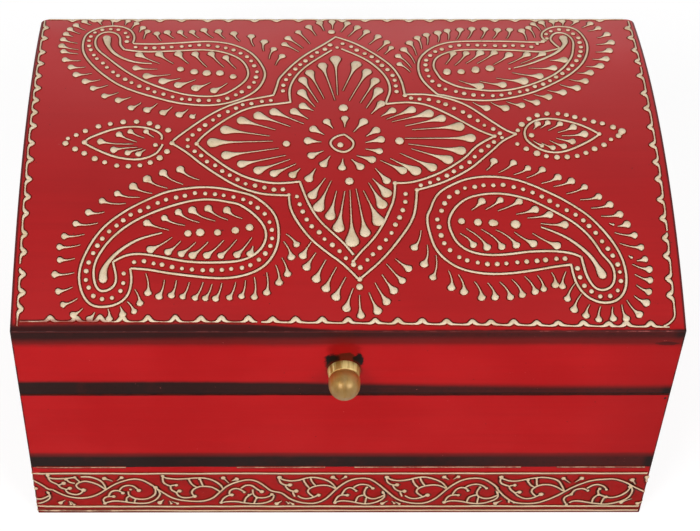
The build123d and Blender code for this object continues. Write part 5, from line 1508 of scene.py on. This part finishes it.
class BOX_OT_lay_paisleys(Operator):
    """Lay the four paisleys with their fringes."""

    bl_idname = "box.lay_paisleys"
    bl_label = "Lay the paisleys"

    def execute(self, context):
        sizes = context.scene.box_relief
        material = bpy.data.materials["cream_relief"]
        for step, (corner, motif) in enumerate(PAISLEYS.items()):
            paisley = Ornament(sizes, 10 + step)
            paisley.line(motif["outer"])
            paisley.line(motif["inner"])
            paisley.beads(motif["outer"], motif["inner"])
            head = 1.25
            curl = motif["curl"]
            widths = [head, head * 0.9] + [0.62 - 0.4 * i / (len(curl) - 3) for i in range(len(curl) - 2)]
            paisley.strokes.append((curl, widths, 3))
            paisley.dot(*curl[0], head * 1.02)
            side = -1 if "left" in corner else 1
            fuller = 1.1 if "back" in corner else 1.0
            lay_drops(paisley, motif["drops"], 0.04 * side, swell=2.4, size=fuller)
            lay_drops(paisley, motif["fringe"], 0.07 * side, size=0.97 * fuller)
            for group in ("hooked_drops", "hooked_fringe"):
                for drop in motif.get(group, ()):
                    paisley.drop(*drop, bend=-0.1)
            for blob in motif["spots"]:
                paisley.dot(*blob)
            lay(paisley, "lid_paisley_" + corner, on_lid, "lid", material)
        return {"FINISHED"}


class BOX_OT_lay_leaves(Operator):
    """Lay the pointed leaf at either end of the star."""

    bl_idname = "box.lay_leaves"
    bl_label = "Lay the leaves"

    def execute(self, context):
        material = bpy.data.materials["cream_relief"]
        for step, (side, motif) in enumerate(LEAVES.items()):
            leaf = Ornament(context.scene.box_relief, 20 + step)
            for edge in motif["edges"]:
                leaf.line(edge)
            for bead in motif["beads"]:
                leaf.dot(*bead)
            lay_drops(leaf, motif["drops"], 0.04)
            for drop in motif["hooked_drops"]:
                leaf.drop(*drop, bend=-0.06)
            lay(leaf, "lid_leaf_" + side, on_lid, "lid", material)
        return {"FINISHED"}


class BOX_OT_lay_border(Operator):
    """Lay the wavy border along the four edges of the lid."""

    bl_idname = "box.lay_border"
    bl_label = "Lay the border"

    def execute(self, context):
        border = Ornament(context.scene.box_relief, 30)
        wave_line(border, (63.6, -43.9), (-93.9, -93.1), [v for v in BORDER_LEFT if v > -44], 1.55, across=True)
        wave_line(border, (-45.6, -63.2), (-93.1, -93.0), [v for v in BORDER_LEFT if v < -45], 1.5, across=True)
        wave_line(border, (63.2, 36), (93.3, 93.0), [v for v in BORDER_RIGHT if v > 36], -1.55, across=True)
        wave_line(border, (34.3, -33.2), (92.9, 92.3), [v for v in BORDER_RIGHT if -33 < v < 34], -1.5, across=True)
        wave_line(border, (-34.4, -57.5), (92.2, 92.0), [v for v in BORDER_RIGHT if v < -34], -1.5, across=True)
        wave_line(border, (-92.3, -25.6), (-61.8, -62.0), [u for u in BORDER_FRONT if u < -26], 1.7, thread=0.5)
        wave_line(border, (-24.4, 90.2), (-62.0, -63.6), [u for u in BORDER_FRONT if u > -24], 1.35)
        wave_line(border, (-92.8, 92), (64.4, 64.4), BORDER_BACK, -1.5)
        border.line(BORDER_CORNER, 0.5 * MM)
        lay(border, "lid_border", on_lid, "lid", bpy.data.materials["cream_relief"])
        return {"FINISHED"}


def vine_repeats():
    """(motif, start, stretch) of each repeat of the vine round the body, beginning at the front's left."""
    front = [(VINE[name], tip, (nxt - tip) / REPEAT if name == "plain" else 1)
             for name, tip, nxt in zip(VINE_FRONT, VINE_TIPS, VINE_TIPS[1:])]
    rest = 2 * half_way_round() - (VINE_TIPS[-1] - VINE_TIPS[0])
    count = round(rest / REPEAT)
    return front + [(VINE["plain"], VINE_TIPS[-1] + index * rest / count, rest / count / REPEAT)
                    for index in range(count)]


class BOX_OT_lay_vine(Operator):
    """Lay the leafy vine and its lines round the foot of the body."""

    bl_idname = "box.lay_vine"
    bl_label = "Lay the vine"

    def execute(self, context):
        sizes = context.scene.box_relief
        material = bpy.data.materials["cream_relief"]
        girth = 2 * half_way_round()
        vine = Ornament(sizes, 40)
        stem = []
        for motif, start, stretch in vine_repeats():

            def shifted(points):
                return [(start + stretch * p[0] + vine.hand.uniform(-0.1, 0.1),
                         VINE_FOOT + p[1] + vine.hand.uniform(-0.1, 0.1)) for p in points]

            stem += shifted(motif["stem"])
            for stroke in motif["strokes"]:
                vine.line(shifted(stroke), sizes.vine_line, resolution=2)
            for x, z, radius in motif["blobs"]:
                vine.dot(*shifted([(x, z)])[0], radius)
            for bud in motif["buds"]:
                (tail,), (head,) = shifted([bud[:2]]), shifted([bud[2:4]])
                vine.drop(*tail, *head, bud[4])
        vine.line(stem + [(stem[0][0] + girth, stem[0][1])], sizes.vine_line)
        lay(vine, "body_vine", wrapped, "body", material, spread=1.9)

        lines = Ornament(sizes, 41)
        steps = round(girth / 5)
        for level, half in VINE_LINES:
            points = [(-95 + index * girth / steps, level + lines.hand.uniform(-0.12, 0.12))
                      for index in range(steps + 1)]
            lines.strokes.append((points, [lines.waver(half) for _ in points], 3))
        for first, last in BAND_LINE_RUNS:
            steps = round((last - first) / 4)
            points = [(first + index * (last - first) / steps, BAND_LINE_HEIGHT + lines.hand.uniform(-0.05, 0.05))
                      for index in range(steps + 1)]
            lines.strokes.append((points, [lines.waver(BAND_LINE_HALF) for _ in points], 3))
        lay(lines, "body_band_lines", wrapped, "body", material, spread=1.3)
        return {"FINISHED"}


def wrapped(along, z, height):
    """round_body for any distance along, also past the back's middle."""
    half = half_way_round()
    return round_body((along + half) % (2 * half) - half, z, height)


class BOX_OT_set_stage(Operator):
    """Set the white floor, the soft lamps and the camera."""

    bl_idname = "box.set_stage"
    bl_label = "Set the stage"

    def execute(self, context):
        scene = context.scene
        set_floor()
        set_world(scene)
        for name, place, size, power in LAMPS:
            set_lamp(name, place, size, power)
        set_camera(scene)
        scene.view_settings.view_transform = "Standard"
        return {"FINISHED"}


FLOOR_SIZE = 6.0
FLOOR_SHADOW = 0.25
# White for the camera, with what the lit paper lacks made good
FLOOR_GLOW = 1.14
FLOOR_IN_METAL = 0.5
# name, place in metres, size in metres, power in watts
LAMPS = (
    ("left_softbox", (-0.9, -1.1, 1.15), 0.7, 16.4),
    ("right_softbox", (0.95, -1.05, 1.1), 0.7, 13.5),
    ("back_softbox", (0.1, 1.5, 0.5), 0.9, 1.6),
)
LAMP_AIM = Vector((0, 0, 0.06))
CAMERA_PLACE = Vector((-23.8, -409.2, 534.05)) * MM
CAMERA_YAW, CAMERA_PITCH, CAMERA_ROLL = (math.radians(angle) for angle in (0.29, 50.04, 0.19))
CAMERA_LENS = 102.7
CAMERA_SHIFT = 80 / 700


def set_floor():
    """A white floor that keeps a soft shadow."""
    shape = bmesh.new()
    bmesh.ops.create_grid(shape, x_segments=2, y_segments=2, size=FLOOR_SIZE / 2,
                          matrix=Matrix.Translation((0, 0, -0.00005)))
    mesh = bpy.data.meshes.new("floor")
    shape.to_mesh(mesh)
    shape.free()
    material, recipe, shader = new_material("floor_paper")
    shader["Base Color"].default_value = (0.86, 0.86, 0.86, 1)
    shader["Roughness"].default_value = 0.9
    paper = shader["Base Color"].node
    glow = recipe.node("ShaderNodeEmission")
    glow.inputs["Strength"].default_value = FLOOR_GLOW
    path = recipe.node("ShaderNodeLightPath").outputs
    mirrored = recipe.math("MAXIMUM", path["Is Glossy Ray"], path["Is Transmission Ray"])
    seen = recipe.math("MAXIMUM", recipe.math("MULTIPLY", path["Is Camera Ray"], 1 - FLOOR_SHADOW),
                       recipe.math("MULTIPLY", mirrored, FLOOR_IN_METAL))
    blend = recipe.node("ShaderNodeMixShader")
    recipe.feed(blend.inputs[0], seen)
    recipe.feed(blend.inputs[1], paper.outputs[0])
    recipe.feed(blend.inputs[2], glow.outputs[0])
    output = next(n for n in material.node_tree.nodes if n.type == "OUTPUT_MATERIAL")
    recipe.feed(output.inputs["Surface"], blend.outputs[0])
    mesh.materials.append(material)
    floor = bpy.data.objects.new("floor", mesh)
    bpy.context.scene.collection.objects.link(floor)


def set_world(scene):
    """White all round, dimmer overhead, so that the lid shines only towards its back."""
    world = bpy.data.worlds.new("studio")
    scene.world = world
    world.use_nodes = True
    recipe = Recipe(world.node_tree)
    background = next(n for n in world.node_tree.nodes if n.type == "BACKGROUND")
    direction = recipe.node("ShaderNodeSeparateXYZ")
    recipe.feed(direction.inputs[0], recipe.node("ShaderNodeTexCoord").outputs["Generated"])
    height = recipe.ramp(direction.outputs[2], 0.1, 1.0, 0.41, 0.32)
    behind = recipe.ramp(direction.outputs[1], -0.5, 0.4, 0.55, 1)
    seen = recipe.node("ShaderNodeLightPath").outputs["Is Camera Ray"]
    recipe.feed(background.inputs["Strength"], recipe.math("MAXIMUM", recipe.math("MULTIPLY", height, behind), seen))
    background.inputs["Color"].default_value = (1, 1, 1, 1)


def set_lamp(name, place, size, power):
    """A square softbox turned to the box."""
    data = bpy.data.lights.new(name, "AREA")
    data.shape = "SQUARE"
    data.size = size
    data.energy = power
    lamp = bpy.data.objects.new(name, data)
    lamp.location = place
    lamp.rotation_euler = (LAMP_AIM - Vector(place)).to_track_quat("-Z", "Y").to_euler()
    bpy.context.scene.collection.objects.link(lamp)


def set_camera(scene):
    """The photograph's view: from in front and above, box a little left of the lens."""
    ahead = Vector((math.sin(CAMERA_YAW) * math.cos(CAMERA_PITCH), math.cos(CAMERA_YAW) * math.cos(CAMERA_PITCH),
                    -math.sin(CAMERA_PITCH)))
    level = Vector((math.cos(CAMERA_YAW), -math.sin(CAMERA_YAW), 0))
    upright = level.cross(ahead)
    right = math.cos(CAMERA_ROLL) * level + math.sin(CAMERA_ROLL) * upright
    up = math.cos(CAMERA_ROLL) * upright - math.sin(CAMERA_ROLL) * level
    data = bpy.data.cameras.new("camera")
    data.sensor_width = 36
    data.lens = CAMERA_LENS
    data.shift_x = CAMERA_SHIFT
    data.clip_start = 0.05
    data.clip_end = 50
    camera = bpy.data.objects.new("camera", data)
    camera.location = CAMERA_PLACE
    camera.rotation_euler = Matrix((right, up, -ahead)).transposed().to_euler()
    scene.collection.objects.link(camera)
    scene.camera = camera


class BOX_PT_panel(Panel):
    """Colours, sizes and steps of the painted box."""

    bl_label = "Painted keepsake box"
    bl_idname = "BOX_PT_panel"
    bl_space_type = "VIEW_3D"
    bl_region_type = "UI"
    bl_category = "Keepsake Box"

    def draw(self, context):
        layout = self.layout
        for group in (context.scene.box_colours, context.scene.box_relief):
            for name in group.__annotations__:
                layout.prop(group, name)
        for step in STEPS:
            layout.operator(step.bl_idname)


STEPS = (
    BOX_OT_paint_boards, BOX_OT_finish_metal, BOX_OT_turn_knob, BOX_OT_lay_star, BOX_OT_lay_paisleys,
    BOX_OT_lay_leaves, BOX_OT_lay_border, BOX_OT_lay_vine, BOX_OT_set_stage,
)
CLASSES = (BoxColours, ReliefSizes, *STEPS, BOX_PT_panel)


def register():
    for cls in CLASSES:
        bpy.utils.register_class(cls)
    bpy.types.Scene.box_colours = PointerProperty(type=BoxColours)
    bpy.types.Scene.box_relief = PointerProperty(type=ReliefSizes)


def unregister():
    del bpy.types.Scene.box_relief
    del bpy.types.Scene.box_colours
    for cls in reversed(CLASSES):
        bpy.utils.unregister_class(cls)


def main():
    """Makes the whole box."""
    register()
    for step in STEPS:
        group, name = step.bl_idname.split(".")
        getattr(getattr(bpy.ops, group), name)()


if __name__ == "__main__":
    main()
